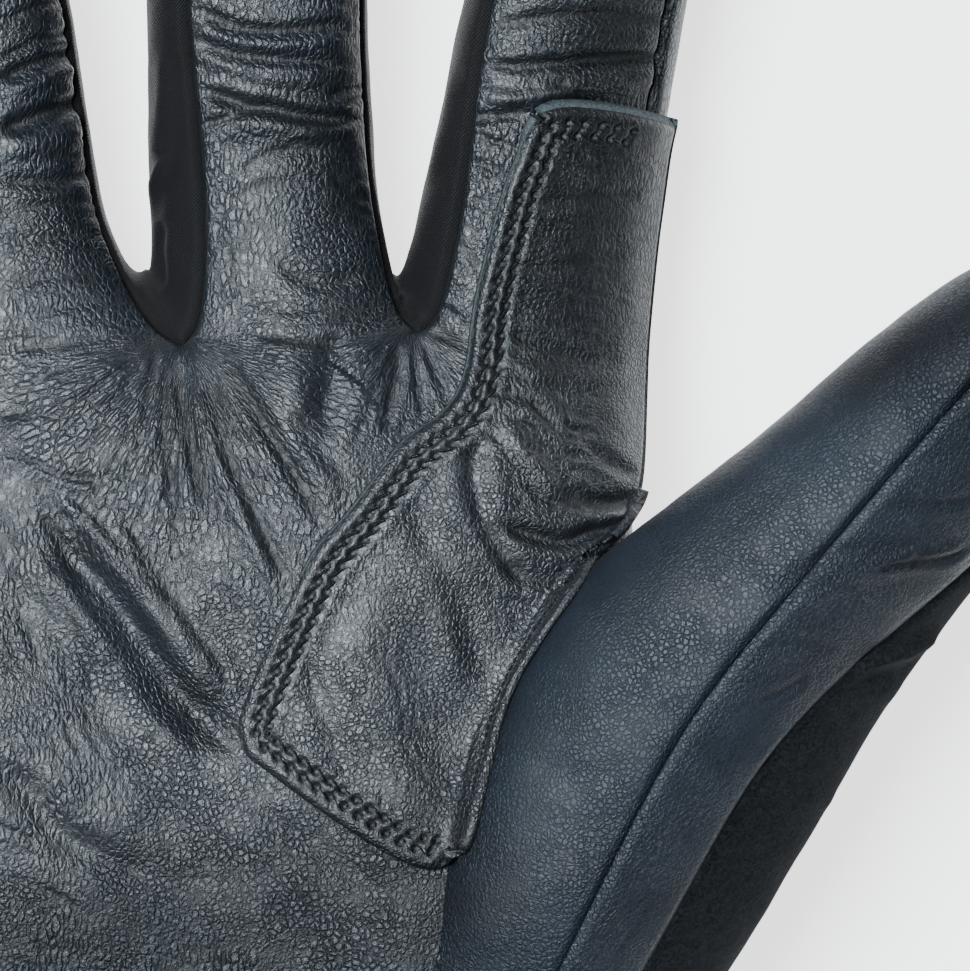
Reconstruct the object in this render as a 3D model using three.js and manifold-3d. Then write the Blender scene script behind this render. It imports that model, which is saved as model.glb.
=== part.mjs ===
// A leather climbing glove for the right hand, lying on its back with the palm up.
// Millimetres, +Z up, +Y towards the fingertips, +X towards the thumb.
// The origin is in the middle of the flat that the back of the hand rests on.
//
// The skin of the hand is one net of rings: cuff and palm rings that split into a ring for each
// finger at the crotches. The thumb is a second net that grows out of the ball of the palm.
// Each panel is a run of that net with a wall put under it, so neighbours share their seams.

import * as THREE from "three";
import { mergeVertices } from "three/addons/utils/BufferGeometryUtils.js";
import Module from "manifold-3d";

const wasm = await Module();
wasm.setup();

// Driving sizes, in millimetres and degrees.
const palmLength = 108; // wrist seam to the crotches
const palmWidth = 108.6; // over the roots of the four fingers
const palmThickness = 31;
const wristToOrigin = 58; // wrist seam to the origin, along the hand
const fingerLength = 84; // the middle finger, from its crotches to its tip
const fingerThickness = 24.5; // the middle finger, from the palm's side to the back
const cuffLength = 52;
const bindingLength = 7; // tape round the cuff's edge
const thumbWidth = 42; // across the ball of the thumb
const thumbHeight = 37;
const leatherWall = 1.8;
const stretchWall = 1.4;
const fleeceWall = 2.2;
const cuffWall = 2.4;
const patchWall = 1.3;
const seamGap = 0.3; // between neighbouring panels
const crotchDip = 3; // how far the palm sinks where two fingers part
const crotchDipWidth = 6;
const blendLength = 19; // the stretch over which a palm's edge turns into a round finger
const palmHollow = 3.2; // depth of the cup of the palm
const foldWidth = 2.6; // half width of a crease across a finger
const fingerTaper = 0.1; // how much narrower a finger is at its tip than at its root, as a share

// One row for each finger, from the little finger to the index. length is a share of the middle
// finger's length, height and curl of its thickness, and width of the palm's. tilt is in degrees.
// lean is how far the finger's axis stands to the side of its two crotches, as a share of its
// width.
const fingerTable = [
  { name: "little", length: 0.726, width: 0.223, height: 0.878, tilt: -15, curl: 0.286, lean: -0.12 },
  { name: "ring", length: 0.917, width: 0.243, height: 0.959, tilt: -7.6, curl: 0.367, lean: -0.235 },
  { name: "middle", length: 1, width: 0.256, height: 1, tilt: -1.7, curl: 0.408, lean: -0.174 },
  { name: "index", length: 0.905, width: 0.256, height: 0.98, tilt: 10.8, curl: 0.327, lean: -0.068 },
];

// Where the palm leather ends on each finger, in degrees round it from straight up. The left edge
// swings from rootLeft to left between the crotch and the middle of the finger.
const fingerFronts = [
  { finger: "little", rootLeft: -62, left: -62, right: 74 },
  { finger: "ring", rootLeft: -36, left: -36, right: 76 },
  { finger: "middle", rootLeft: -17, left: -37, right: 76 },
  { finger: "index", rootLeft: -25, left: -48, right: 58 },
];

// The edges of the fingers' roots, from the outside of the little finger to the outside of the
// index. across is the share of the way over the palm. along is where the palm's surface meets
// the edge and deep is where the crotch between two fingers bottoms out, both as shares of the
// palm's length. aside is how far the deep point stands to the side, as a share of its width.
const roots = [
  { name: "outer_little", across: 0, along: 0.835, deep: 0.835, aside: 0 },
  { name: "ring_little", across: 0.239, along: 0.945, deep: 1.0, aside: -0.042 },
  { name: "middle_ring", across: 0.52, along: 0.99, deep: 1.08, aside: -0.05 },
  { name: "index_middle", across: 0.782, along: 1.009, deep: 1.074, aside: -0.033 },
  { name: "outer_index", across: 1, along: 0.926, deep: 0.926, aside: 0 },
];

// Cross-sections of the palm. along is the share of the palm's length from the wrist, left and
// right are shares of the palm's width, thick is a share of its thickness.
const palmSections = [
  { along: 0.0, left: -0.41, right: 0.375, thick: 0.96 },
  { along: 0.17, left: -0.44, right: 0.385, thick: 1.0 },
  { along: 0.36, left: -0.478, right: 0.4, thick: 1.03 },
  { along: 0.55, left: -0.5, right: 0.43, thick: 1.02 },
  { along: 0.73, left: -0.512, right: 0.452, thick: 0.99 },
  { along: 0.88, left: -0.51, right: 0.46, thick: 0.94 },
  { along: 1.0, left: -0.5, right: 0.462, thick: 0.86 },
];

// Cross-sections of the cuff. along is the share of the cuff's length from the wrist.
const cuffSections = [
  { along: 1.0, left: -0.412, right: 0.392, thick: 1.08 },
  { along: 0.55, left: -0.405, right: 0.384, thick: 1.02 },
  { along: 0.0, left: -0.41, right: 0.375, thick: 0.96 },
];

// Broad folds and pads of the palm. Each runs from one point to the other, both as shares of the
// palm's width and length from the origin. rise is a share of the palm's thickness, negative for
// a valley, and spread, its half width, is a share of the palm's width.
const palmFolds = [
  { name: "heart_line", fromX: -0.34, fromY: 0.26, toX: 0.02, toY: 0.05, rise: -0.061, spread: 0.051 },
  { name: "heart_ridge", fromX: -0.36, fromY: 0.12, toX: -0.06, toY: -0.06, rise: 0.039, spread: 0.06 },
  { name: "upper_line", fromX: -0.26, fromY: 0.35, toX: -0.12, toY: 0.25, rise: -0.042, spread: 0.041 },
  { name: "middle_pad", fromX: 0.04, fromY: 0.34, toX: 0.12, toY: 0.38, rise: 0.052, spread: 0.083 },
  { name: "index_pad", fromX: 0.3, fromY: 0.33, toX: 0.4, toY: 0.36, rise: 0.045, spread: 0.083 },
  { name: "patch_dip", fromX: 0.38, fromY: 0.2, toX: 0.27, toY: 0.05, rise: -0.052, spread: 0.055 },
  { name: "heel_pad", fromX: -0.36, fromY: -0.28, toX: -0.33, toY: 0.0, rise: 0.065, spread: 0.129 },
];

// The cup of the palm, as shares of the palm's width and length from the origin.
const cup = { across: 0, along: -0.05, wide: 0.26, long: 0.33 };

// Creases across the fronts of the fingers. at is the share of the finger's length and depth a
// share of the middle finger's thickness.
const fingerFolds = [
  { finger: "index", at: 0.34, depth: 0.053 },
  { finger: "index", at: 0.43, depth: 0.033 },
  { finger: "index", at: 0.66, depth: 0.041 },
  { finger: "middle", at: 0.3, depth: 0.053 },
  { finger: "middle", at: 0.36, depth: 0.045 },
  { finger: "middle", at: 0.42, depth: 0.045 },
  { finger: "middle", at: 0.66, depth: 0.041 },
  { finger: "ring", at: 0.22, depth: 0.041 },
  { finger: "ring", at: 0.32, depth: 0.049 },
  { finger: "ring", at: 0.42, depth: 0.049 },
  { finger: "ring", at: 0.66, depth: 0.041 },
  { finger: "little", at: 0.32, depth: 0.041 },
  { finger: "little", at: 0.42, depth: 0.041 },
  { finger: "little", at: 0.66, depth: 0.033 },
];

// Cross-sections of the thumb, from inside the heel of the hand to the tip. across is a share of
// the palm's width, along of its length, lift of its thickness, wide and high are shares of the
// thumb's own sizes. frontSeam and backSeam are degrees round the thumb from straight up, where
// the front leather meets the side leather and the side leather meets the fleece.
const thumbSections = [
  { across: 0.24, along: -0.444, lift: 0.48, wide: 0.85, high: 0.58, frontSeam: 6, backSeam: 26 },
  { across: 0.34, along: -0.315, lift: 0.58, wide: 0.8, high: 0.74, frontSeam: 5, backSeam: 28 },
  { across: 0.423, along: -0.155, lift: 0.677, wide: 0.945, high: 0.93, frontSeam: 3, backSeam: 25 },
  { across: 0.484, along: -0.037, lift: 0.726, wide: 0.985, high: 0.97, frontSeam: 2, backSeam: 25 },
  { across: 0.545, along: 0.073, lift: 0.774, wide: 1.0, high: 0.965, frontSeam: 2, backSeam: 25 },
  { across: 0.648, along: 0.181, lift: 0.839, wide: 0.824, high: 0.89, frontSeam: -1, backSeam: 34 },
  { across: 0.745, along: 0.283, lift: 0.887, wide: 0.729, high: 0.81, frontSeam: -6, backSeam: 57 },
  { across: 0.852, along: 0.389, lift: 0.952, wide: 0.681, high: 0.735, frontSeam: -12, backSeam: 70 },
  { across: 0.926, along: 0.458, lift: 1.0, wide: 0.6, high: 0.65, frontSeam: -16, backSeam: 72 },
  { across: 0.977, along: 0.507, lift: 1.032, wide: 0.43, high: 0.465, frontSeam: -18, backSeam: 72 },
  { across: 1.002, along: 0.532, lift: 1.052, wide: 0.215, high: 0.232, frontSeam: -18, backSeam: 72 },
];
const thumbTip = { across: 1.012, along: 0.541, lift: 1.058 };
const thumbUnder = -118; // where the front leather meets the fleece beneath the thumb, in degrees

// Outline of the wear patch, as shares of the palm's width and length from the origin. It runs
// from the index finger's crease down beside the crotch, round the lobe in the palm and back up
// along the ball of the thumb to the outside of the index finger.
const patchOutline = [
  { across: 0.386, along: 0.704 },
  { across: 0.358, along: 0.655 },
  { across: 0.332, along: 0.573 },
  { across: 0.31, along: 0.48 },
  { across: 0.293, along: 0.398 },
  { across: 0.252, along: 0.36 },
  { across: 0.179, along: 0.272 },
  { across: 0.119, along: 0.187 },
  { across: 0.076, along: 0.093 },
  { across: 0.061, along: 0.029 },
  { across: 0.123, along: -0.031 },
  { across: 0.212, along: -0.091 },
  { across: 0.281, along: -0.107 },
  { across: 0.319, along: -0.052 },
  { across: 0.344, along: 0.038 },
  { across: 0.375, along: 0.125 },
  { across: 0.44, along: 0.205 },
];
const patchTop = { across: 0.47, along: 0.704 }; // the square end across the index finger
const patchOverhang = 8; // how far the patch's blank passes the outside of the index finger

// How finely the net is divided.
const frontSegments = 4; // across the front of a finger
const sideSegments = 3;
const palmRows = 17;
const cuffRows = 4;
const thumbFrontSegments = 7;
const thumbSideSegments = 3;
const thumbBackSegments = 7;
const fingerRings = [
  0.07, 0.14, 0.22, 0.27, 0.32, 0.37, 0.42, 0.48, 0.54, 0.6, 0.66, 0.73, 0.8, 0.87, 0.93, 0.975,
];
const domeStart = 0.78; // where a fingertip starts to round off
const domeRoundness = 2.3;
const tipFlat = 0.42; // how wide the seam over the fingertip is, as a share of the finger's width
const tipLift = 0.06; // how far the fingertip's seam stands above its axis, as a share of its height
const frontSwing = 0.45; // the share of a finger over which its leather's left edge swings
const fingerBack = 114; // degrees from straight up where the fleece back of a finger starts
const restShare = 0.86; // the share of the back's width that lies flat
const reliefStart = 0.17; // the share of the palm over which its folds fade in from the wrist
const dipStart = 0.72; // the share of the palm where the valleys between the fingers begin
const sharpestCorner = 0.4; // the least cosine used where a panel's border turns
const palmRoundness = 3; // exponent of the palm's oval, 2 for an ellipse
const fingerRoundness = 2.4;
const thumbRoundness = 2.2;
const palmCorner = 72; // degrees from straight up where the palm's face turns into its side

// Worked out from the driving sizes.
const fingers = fingerTable.map((row) => ({
  ...row,
  length: row.length * fingerLength,
  width: row.width * palmWidth,
  height: row.height * fingerThickness,
  curl: row.curl * fingerThickness,
}));
const wristY = -wristToOrigin;
const acrossSegments = frontSegments * fingers.length;

const radians = THREE.MathUtils.degToRad;
const mix = THREE.MathUtils.lerp;

// A value read between the rows of a table along one of its columns.
function between(table, column, position, key = "along") {
  const rows = [...table].sort((a, b) => a[key] - b[key]);
  const last = rows.length - 1;
  const next = rows.findIndex((row) => row[key] >= position);
  const high = next < 0 ? last : Math.max(1, next);
  const low = high - 1;
  const gone = (position - rows[low][key]) / (rows[high][key] - rows[low][key]);
  const share = THREE.MathUtils.clamp(gone, 0, 1);
  const picked = [Math.max(0, low - 1), low, high, Math.min(last, high + 1)];
  const points = picked.map((row, i) => new THREE.Vector3(i, rows[row][column], 0));
  const curve = new THREE.CatmullRomCurve3(points, false, "catmullrom", 0.5);
  return curve.getPoint((1 + share) / 3).y;
}

// A point on an oval at an angle from straight up, clockwise, with half sizes 1 and 1.
function onOval(degrees, roundness) {
  const sine = Math.sin(radians(degrees));
  const cosine = Math.cos(radians(degrees));
  return {
    across: Math.sign(sine) * Math.abs(sine) ** (2 / roundness),
    up: Math.sign(cosine) * Math.abs(cosine) ** (2 / roundness),
  };
}

function emptyNet() {
  return { points: [], faces: [] };
}

function addPoint(net, point) {
  net.points.push(point);
  return net.points.length - 1;
}

// A column of the roots' table read at one of the net's points across the palm.
function atRoot(column, index) {
  const finger = Math.min(fingers.length - 1, Math.floor(index / frontSegments));
  const share = index / frontSegments - finger;
  return mix(roots[finger][column], roots[finger + 1][column], share);
}

// How far the palm's face stands above its plain oval at a point.
function palmRelief(x, y) {
  let rise = 0;
  for (const fold of palmFolds) {
    const from = new THREE.Vector2(fold.fromX * palmWidth, fold.fromY * palmLength);
    const to = new THREE.Vector2(fold.toX * palmWidth, fold.toY * palmLength);
    const run = to.clone().sub(from);
    const here = new THREE.Vector2(x, y).sub(from);
    const share = THREE.MathUtils.clamp(here.dot(run) / run.lengthSq(), 0, 1);
    const away = here.sub(run.multiplyScalar(share)).length();
    rise += fold.rise * palmThickness * Math.exp(-((away / (fold.spread * palmWidth)) ** 2));
  }
  const cupX = (x / palmWidth - cup.across) / cup.wide;
  const cupY = (y / palmLength - cup.along) / cup.long;
  return rise - palmHollow * Math.exp(-(cupX ** 2) - cupY ** 2);
}

// One ring of the palm or cuff: its face from left to right, the right side down, the back from
// right to left and the left side up.
function palmRing(section, yOf, rooted) {
  const half = (section.thick * palmThickness) / 2;
  const ring = [];
  const place = (shareX, degrees, y) => {
    const oval = onOval(degrees, palmRoundness);
    const x = mix(section.left, section.right, shareX) * palmWidth;
    return new THREE.Vector3(x, y, half + half * oval.up);
  };
  const corner = onOval(palmCorner, palmRoundness).across;
  const angleAt = (shareX) => {
    const across = (2 * shareX - 1) * corner;
    const angle = Math.asin(Math.abs(across) ** (palmRoundness / 2));
    return Math.sign(across) * THREE.MathUtils.radToDeg(angle);
  };
  for (let i = 0; i <= acrossSegments; i++) {
    const share = atRoot("across", i);
    const point = place(share, angleAt(share), yOf(i));
    const edge = Math.sin(Math.PI * share) ** 0.5;
    point.z += palmRelief(point.x, point.y) * edge * rooted.reliefShare;
    for (const root of roots.slice(1, -1)) {
      const rootX = mix(section.left, section.right, root.across) * palmWidth;
      const away = (point.x - rootX) / crotchDipWidth;
      point.z -= crotchDip * rooted.dipShare * Math.exp(-(away ** 2));
    }
    ring.push(point);
  }
  const sidePoint = (shareX, sign, step) => {
    const degrees = mix(palmCorner, 180 - palmCorner, step / sideSegments);
    const oval = onOval(degrees, palmRoundness);
    const bulge = (oval.across - corner) * (section.right - section.left) * palmWidth * 0.5;
    const base = place(shareX, degrees, yOf(shareX * acrossSegments));
    base.x += sign * bulge;
    return base;
  };
  for (let step = 1; step < sideSegments; step++) {
    ring.push(sidePoint(1, 1, step));
  }
  for (let i = acrossSegments; i >= 0; i--) {
    const share = atRoot("across", i);
    const point = place(share, 180 - angleAt(share), yOf(i));
    const flat = Math.abs(2 * share - 1) < restShare;
    point.z = flat ? 0 : point.z;
    ring.push(point);
  }
  for (let step = sideSegments - 1; step >= 1; step--) {
    ring.push(sidePoint(0, -1, step));
  }
  return ring;
}

// The panel that each stretch of a ring belongs to.
function palmPanel(segment) {
  const right = acrossSegments + sideSegments;
  const back = right + acrossSegments;
  return segment >= right && segment < back ? "back_fleece" : "palm_leather";
}

function fingerPanel(finger, segment) {
  const right = frontSegments + sideSegments;
  const back = right + frontSegments;
  if (segment < frontSegments) return "palm_leather";
  if (segment < right && finger === fingers.length - 1) return "index_side";
  if (segment < right) return `fourchette_${roots[finger + 1].name}`;
  if (segment < back) return "back_fleece";
  return finger === 0 ? "palm_leather" : `fourchette_${roots[finger].name}`;
}

// Joins two rings of point numbers with quads that face outwards.
function joinRings(net, near, far, panelOf) {
  for (let i = 0; i < near.length; i++) {
    const next = (i + 1) % near.length;
    net.faces.push({ corners: [near[i], near[next], far[next], far[i]], panel: panelOf(i) });
  }
}

function closeRing(net, ring, facing) {
  const centre = new THREE.Vector3();
  for (const index of ring) centre.add(net.points[index]);
  const hub = addPoint(net, centre.divideScalar(ring.length));
  for (let i = 0; i < ring.length; i++) {
    const pair = [ring[i], ring[(i + 1) % ring.length]];
    if (facing < 0) pair.reverse();
    net.faces.push({ corners: [...pair, hub], panel: "cap" });
  }
}

// A finger's own oval at a share of its length, as points in the order of its root ring.
function fingerOval(finger, rootCentre, share) {
  const turn = radians(finger.tilt);
  const forward = new THREE.Vector3(Math.sin(turn), Math.cos(turn), 0);
  const aside = new THREE.Vector3(Math.cos(turn), -Math.sin(turn), 0);
  const dome = Math.max(0, (share - domeStart) / (1 - domeStart));
  const round = Math.sqrt(Math.max(0, 1 - dome ** domeRoundness));
  const taper = 1 - fingerTaper * share;
  const halfWidth = (finger.width / 2) * taper * mix(tipFlat, 1, round);
  const halfHeight = (finger.height / 2) * taper * round;
  const centre = rootCentre.clone().addScaledVector(forward, finger.length * share);
  centre.z = finger.height / 2 + finger.curl * share ** 2 + tipLift * finger.height * dome ** 2;
  const front = fingerFronts.find((row) => row.finger === finger.name);
  const left = mix(front.rootLeft, front.left, Math.min(1, share / frontSwing));
  const angles = [];
  const stops = [left, front.right, fingerBack, 360 - fingerBack];
  const spans = [frontSegments, sideSegments, frontSegments, sideSegments];
  stops.forEach((stop, i) => {
    const next = i + 1 < stops.length ? stops[i + 1] : stops[0] + 360;
    for (let step = 0; step < spans[i]; step++) angles.push(mix(stop, next, step / spans[i]));
  });
  return angles.map((degrees) => {
    const oval = onOval(degrees, fingerRoundness);
    let dent = 0;
    for (const fold of fingerFolds.filter((row) => row.finger === finger.name)) {
      const away = ((share - fold.at) * finger.length) / foldWidth;
      dent += fold.depth * fingerThickness * Math.exp(-(away ** 2)) * Math.max(0, oval.up);
    }
    const point = centre.clone().addScaledVector(aside, halfWidth * oval.across);
    point.z = Math.max(0, point.z + halfHeight * oval.up - dent);
    return point;
  });
}

function buildHand() {
  const net = emptyNet();
  const rings = [];
  const cuffTop = cuffRows + 1;
  const bindingAt = 1 - bindingLength / cuffLength;
  const cuffStops = [1, bindingAt];
  for (let row = 1; row < cuffRows; row++) cuffStops.push(mix(bindingAt, 0, row / cuffRows));
  for (const along of cuffStops) {
    const section = {
      left: between(cuffSections, "left", along),
      right: between(cuffSections, "right", along),
      thick: between(cuffSections, "thick", along),
    };
    const y = wristY - along * cuffLength;
    rings.push(palmRing(section, () => y, { reliefShare: 0, dipShare: 0 }));
  }
  for (let row = 0; row <= palmRows; row++) {
    const along = row / palmRows;
    const section = {
      left: between(palmSections, "left", along),
      right: between(palmSections, "right", along),
      thick: between(palmSections, "thick", along),
    };
    const yOf = (i) => wristY + along * palmLength * atRoot("along", i);
    const dipShare = THREE.MathUtils.smoothstep(along, dipStart, 1);
    const reliefShare = Math.min(1, along / reliefStart);
    rings.push(palmRing(section, yOf, { reliefShare, dipShare }));
  }
  const numbered = rings.map((ring) => ring.map((point) => addPoint(net, point)));
  numbered.slice(1).forEach((ring, i) => {
    const panelOf = (segment) => (i === 0 ? "cuff_binding" : i < cuffTop ? "cuff" : palmPanel(segment));
    joinRings(net, numbered[i], ring, panelOf);
  });
  closeRing(net, numbered[0], -1);

  const knuckles = numbered.at(-1);
  const backStart = acrossSegments + sideSegments;
  const backNumber = (i) => knuckles[backStart + acrossSegments - i];
  const crotches = roots.map((root, r) => {
    if (r === 0 || r === roots.length - 1) return null;
    const top = net.points[knuckles[r * frontSegments]];
    const under = net.points[backNumber(r * frontSegments)];
    const column = [];
    for (let step = 1; step < sideSegments; step++) {
      const point = top.clone().lerp(under, step / sideSegments);
      point.x += root.aside * palmWidth;
      point.y = wristY + root.deep * palmLength;
      column.push(addPoint(net, point));
    }
    return column;
  });
  fingers.forEach((finger, f) => {
    const first = f * frontSegments;
    const last = first + frontSegments;
    const front = knuckles.slice(first, last);
    const right =
      f === fingers.length - 1
        ? knuckles.slice(acrossSegments, backStart)
        : [knuckles[last], ...crotches[f + 1]];
    const back = [];
    for (let i = last; i > first; i--) back.push(backNumber(i));
    const left =
      f === 0
        ? [backNumber(0), ...knuckles.slice(backStart + acrossSegments + 1)]
        : [backNumber(first), ...[...crotches[f]].reverse()];
    const base = [...front, ...right, ...back, ...left];
    const rootCentre = new THREE.Vector3();
    rootCentre.addVectors(net.points[knuckles[first]], net.points[knuckles[last]]).divideScalar(2);
    rootCentre.x += finger.lean * finger.width;
    let near = base;
    for (const share of fingerRings) {
      const weight = THREE.MathUtils.smoothstep(share * finger.length, 0, blendLength);
      const oval = fingerOval(finger, rootCentre, share);
      const far = oval.map((point, i) => addPoint(net, net.points[base[i]].clone().lerp(point, weight)));
      joinRings(net, near, far, (segment) => fingerPanel(f, segment));
      near = far;
    }
    const end = fingerOval(finger, rootCentre, 1);
    const leftEnd = end[0].clone().lerp(end.at(-sideSegments), 0.5);
    const rightEnd = end[frontSegments].clone().lerp(end[frontSegments + sideSegments], 0.5);
    const seam = [];
    for (let i = 0; i <= frontSegments; i++) {
      seam.push(addPoint(net, leftEnd.clone().lerp(rightEnd, i / frontSegments)));
    }
    const closing = [
      ...seam.slice(0, frontSegments),
      ...Array(sideSegments).fill(seam[frontSegments]),
      ...seam.slice(1).reverse(),
      ...Array(sideSegments).fill(seam[0]),
    ];
    joinRings(net, near, closing, (segment) => fingerPanel(f, segment));
  });
  return net;
}

function buildThumb() {
  const net = emptyNet();
  const place = ({ across, along, lift }) =>
    new THREE.Vector3(across * palmWidth, along * palmLength, lift * palmThickness);
  const centres = thumbSections.map(place);
  const path = new THREE.CatmullRomCurve3(centres, false, "centripetal");
  const panels = [
    ...Array(thumbFrontSegments).fill("thumb_front"),
    ...Array(thumbSideSegments).fill("thumb_side"),
    ...Array(thumbBackSegments).fill("thumb_back"),
  ];
  let near = null;
  thumbSections.forEach((row, r) => {
    const forward = path.getTangent(r / (thumbSections.length - 1));
    const aside = new THREE.Vector3(forward.y, -forward.x, 0).normalize();
    const stops = [thumbUnder, row.frontSeam, row.backSeam];
    const spans = [thumbFrontSegments, thumbSideSegments, thumbBackSegments];
    const ring = [];
    stops.forEach((stop, i) => {
      const next = i + 1 < stops.length ? stops[i + 1] : stops[0] + 360;
      for (let step = 0; step < spans[i]; step++) {
        const oval = onOval(mix(stop, next, step / spans[i]), thumbRoundness);
        const point = centres[r].clone();
        point.addScaledVector(aside, (row.wide * thumbWidth * oval.across) / 2);
        point.z += (row.high * thumbHeight * oval.up) / 2;
        ring.push(addPoint(net, point));
      }
    });
    if (near) joinRings(net, near, ring, (segment) => panels[segment]);
    else closeRing(net, ring, -1);
    near = ring;
  });
  const tip = addPoint(net, place(thumbTip));
  for (let i = 0; i < near.length; i++) {
    net.faces.push({ corners: [near[i], near[(i + 1) % near.length], tip], panel: panels[i] });
  }
  return net;
}

// A face's triangles, without those that a seam point shared by two corners leaves empty.
function trianglesOf(face) {
  const corners = face.corners.filter((corner, i, all) => all.indexOf(corner) === i);
  if (corners.length < 3) return [];
  const [a, b, c, d] = corners;
  return corners.length === 3 ? [[a, b, c]] : [[a, b, c], [a, c, d]];
}

// Outward directions at the net's points.
function normalsOf(net) {
  const normals = net.points.map(() => new THREE.Vector3());
  for (const face of net.faces) {
    for (const [a, b, c] of trianglesOf(face)) {
      const one = net.points[b].clone().sub(net.points[a]);
      const two = net.points[c].clone().sub(net.points[a]);
      const across = one.cross(two);
      for (const corner of [a, b, c]) normals[corner].add(across);
    }
  }
  return normals.map((normal) => normal.normalize());
}

function geometryOf(points, triangles) {
  const geometry = new THREE.BufferGeometry();
  const flat = triangles.flatMap((triangle) => triangle.flatMap((corner) => points[corner].toArray()));
  geometry.setAttribute("position", new THREE.Float32BufferAttribute(flat, 3));
  return geometry;
}

function solidOf(geometry) {
  const bare = geometry.index ? geometry.toNonIndexed() : geometry.clone();
  for (const name of ["normal", "uv"]) bare.deleteAttribute(name);
  const merged = mergeVertices(bare, 1e-4);
  const mesh = new wasm.Mesh({
    numProp: 3,
    vertProperties: merged.getAttribute("position").array,
    triVerts: new Uint32Array(merged.index.array),
  });
  mesh.merge();
  return new wasm.Manifold(mesh);
}

function geometryOfSolid(solid) {
  const mesh = solid.getMesh();
  const geometry = new THREE.BufferGeometry();
  geometry.setAttribute("position", new THREE.Float32BufferAttribute(mesh.vertProperties, 3));
  geometry.setIndex(new THREE.Uint32BufferAttribute(mesh.triVerts, 1));
  return geometry;
}

// The whole net as a closed solid, moved outwards by a distance.
function filledSolid(net, grow) {
  const normals = normalsOf(net);
  const points = net.points.map((point, i) => point.clone().addScaledVector(normals[i], grow));
  return solidOf(geometryOf(points, net.faces.flatMap(trianglesOf)));
}

// One panel of the net with a wall under it, drawn back from its seams.
function panelSolid(net, panel, wall, drawnBack = seamGap / 2) {
  const normals = normalsOf(net);
  const triangles = net.faces.filter((face) => face.panel === panel).flatMap(trianglesOf);
  const edges = new Map();
  for (const triangle of triangles) {
    triangle.forEach((from, i) => {
      const to = triangle[(i + 1) % 3];
      edges.set(`${from},${to}`, [from, to]);
    });
  }
  const border = [...edges.values()].filter(([from, to]) => !edges.has(`${to},${from}`));
  const inward = new Map();
  for (const [from, to] of border) {
    const run = net.points[to].clone().sub(net.points[from]).normalize();
    for (const corner of [from, to]) {
      const turned = normals[corner].clone().cross(run).normalize();
      inward.set(corner, [...(inward.get(corner) ?? []), turned]);
    }
  }
  const top = new Map();
  const bottom = new Map();
  const points = [];
  for (const corner of new Set(triangles.flat())) {
    const point = net.points[corner].clone();
    const pulls = inward.get(corner);
    if (pulls) {
      const pull = pulls.reduce((sum, turned) => sum.add(turned), new THREE.Vector3()).normalize();
      const slant = Math.max(sharpestCorner, pull.dot(pulls[0]));
      point.addScaledVector(pull, drawnBack / slant);
      point.z = Math.max(0, point.z);
    }
    top.set(corner, points.push(point) - 1);
    bottom.set(corner, points.push(point.clone().addScaledVector(normals[corner], -wall)) - 1);
  }
  const closed = [];
  for (const triangle of triangles) {
    closed.push(triangle.map((corner) => top.get(corner)));
    closed.push(triangle.map((corner) => bottom.get(corner)).reverse());
  }
  for (const [from, to] of border) {
    closed.push([top.get(to), top.get(from), bottom.get(from)]);
    closed.push([top.get(to), bottom.get(from), bottom.get(to)]);
  }
  return solidOf(geometryOf(points, closed));
}

// The biggest piece of a solid, without the slivers that a cut along a curved seam can leave.
function mainPiece(solid) {
  const pieces = solidOf(geometryOfSolid(solid)).decompose();
  return pieces.sort((a, b) => b.volume() - a.volume())[0];
}

// The wear patch: a layer laid on the palm leather, cut to its outline.
function buildPatch(hand, thumb) {
  const place = (row) => new THREE.Vector2(row.across * palmWidth, row.along * palmLength);
  const outside = palmWidth / 2 + patchOverhang;
  const edge = patchOutline.map(place);
  const shape = new THREE.Shape();
  shape.moveTo(edge[0].x, edge[0].y);
  shape.splineThru(edge.slice(1));
  shape.lineTo(outside, edge.at(-1).y);
  shape.lineTo(outside, place(patchTop).y);
  shape.lineTo(place(patchTop).x, place(patchTop).y);
  const indexFinger = fingers.at(-1);
  const blank = new THREE.ExtrudeGeometry(shape, {
    depth: palmThickness * 2,
    bevelEnabled: false,
    curveSegments: 2,
  }).translate(0, 0, indexFinger.height / 2);
  const layer = filledSolid(hand, seamGap + patchWall).subtract(filledSolid(hand, seamGap));
  return layer.intersect(solidOf(blank)).subtract(thumb);
}

const hand = buildHand();
const thumb = buildThumb();
const handFilled = filledSolid(hand, seamGap);
const thumbFilled = filledSolid(thumb, seamGap);

const leather = new THREE.MeshStandardMaterial({ color: 0x27323e, roughness: 0.48, metalness: 0 });
const patchLeather = new THREE.MeshStandardMaterial({ color: 0x232d38, roughness: 0.45, metalness: 0 });
const stretch = new THREE.MeshStandardMaterial({ color: 0x17161a, roughness: 0.85, metalness: 0 });
const fleece = new THREE.MeshStandardMaterial({ color: 0x1d2023, roughness: 0.95, metalness: 0 });
const cuffCloth = new THREE.MeshStandardMaterial({ color: 0x1b1c1f, roughness: 0.9, metalness: 0 });

// One row for each panel of the hand, which the thumb is let into, and of the thumb.
const handPanels = [
  { name: "palm_leather", wall: leatherWall, material: leather },
  { name: "index_side", wall: leatherWall, material: leather },
  { name: "fourchette_index_middle", wall: stretchWall, material: stretch },
  { name: "fourchette_middle_ring", wall: stretchWall, material: stretch },
  { name: "fourchette_ring_little", wall: stretchWall, material: stretch },
  { name: "back_fleece", wall: fleeceWall, material: fleece },
  { name: "cuff", wall: cuffWall, material: cuffCloth },
  { name: "cuff_binding", wall: cuffWall, material: stretch },
];
const thumbPanels = [
  { name: "thumb_front", wall: leatherWall, material: leather },
  { name: "thumb_side", wall: leatherWall, material: leather },
  { name: "thumb_back", wall: fleeceWall, material: fleece },
];

const glove = new THREE.Group();
function addPiece(name, solid, material) {
  const mesh = new THREE.Mesh(geometryOfSolid(mainPiece(solid)), material);
  mesh.name = name;
  glove.add(mesh);
}

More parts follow.
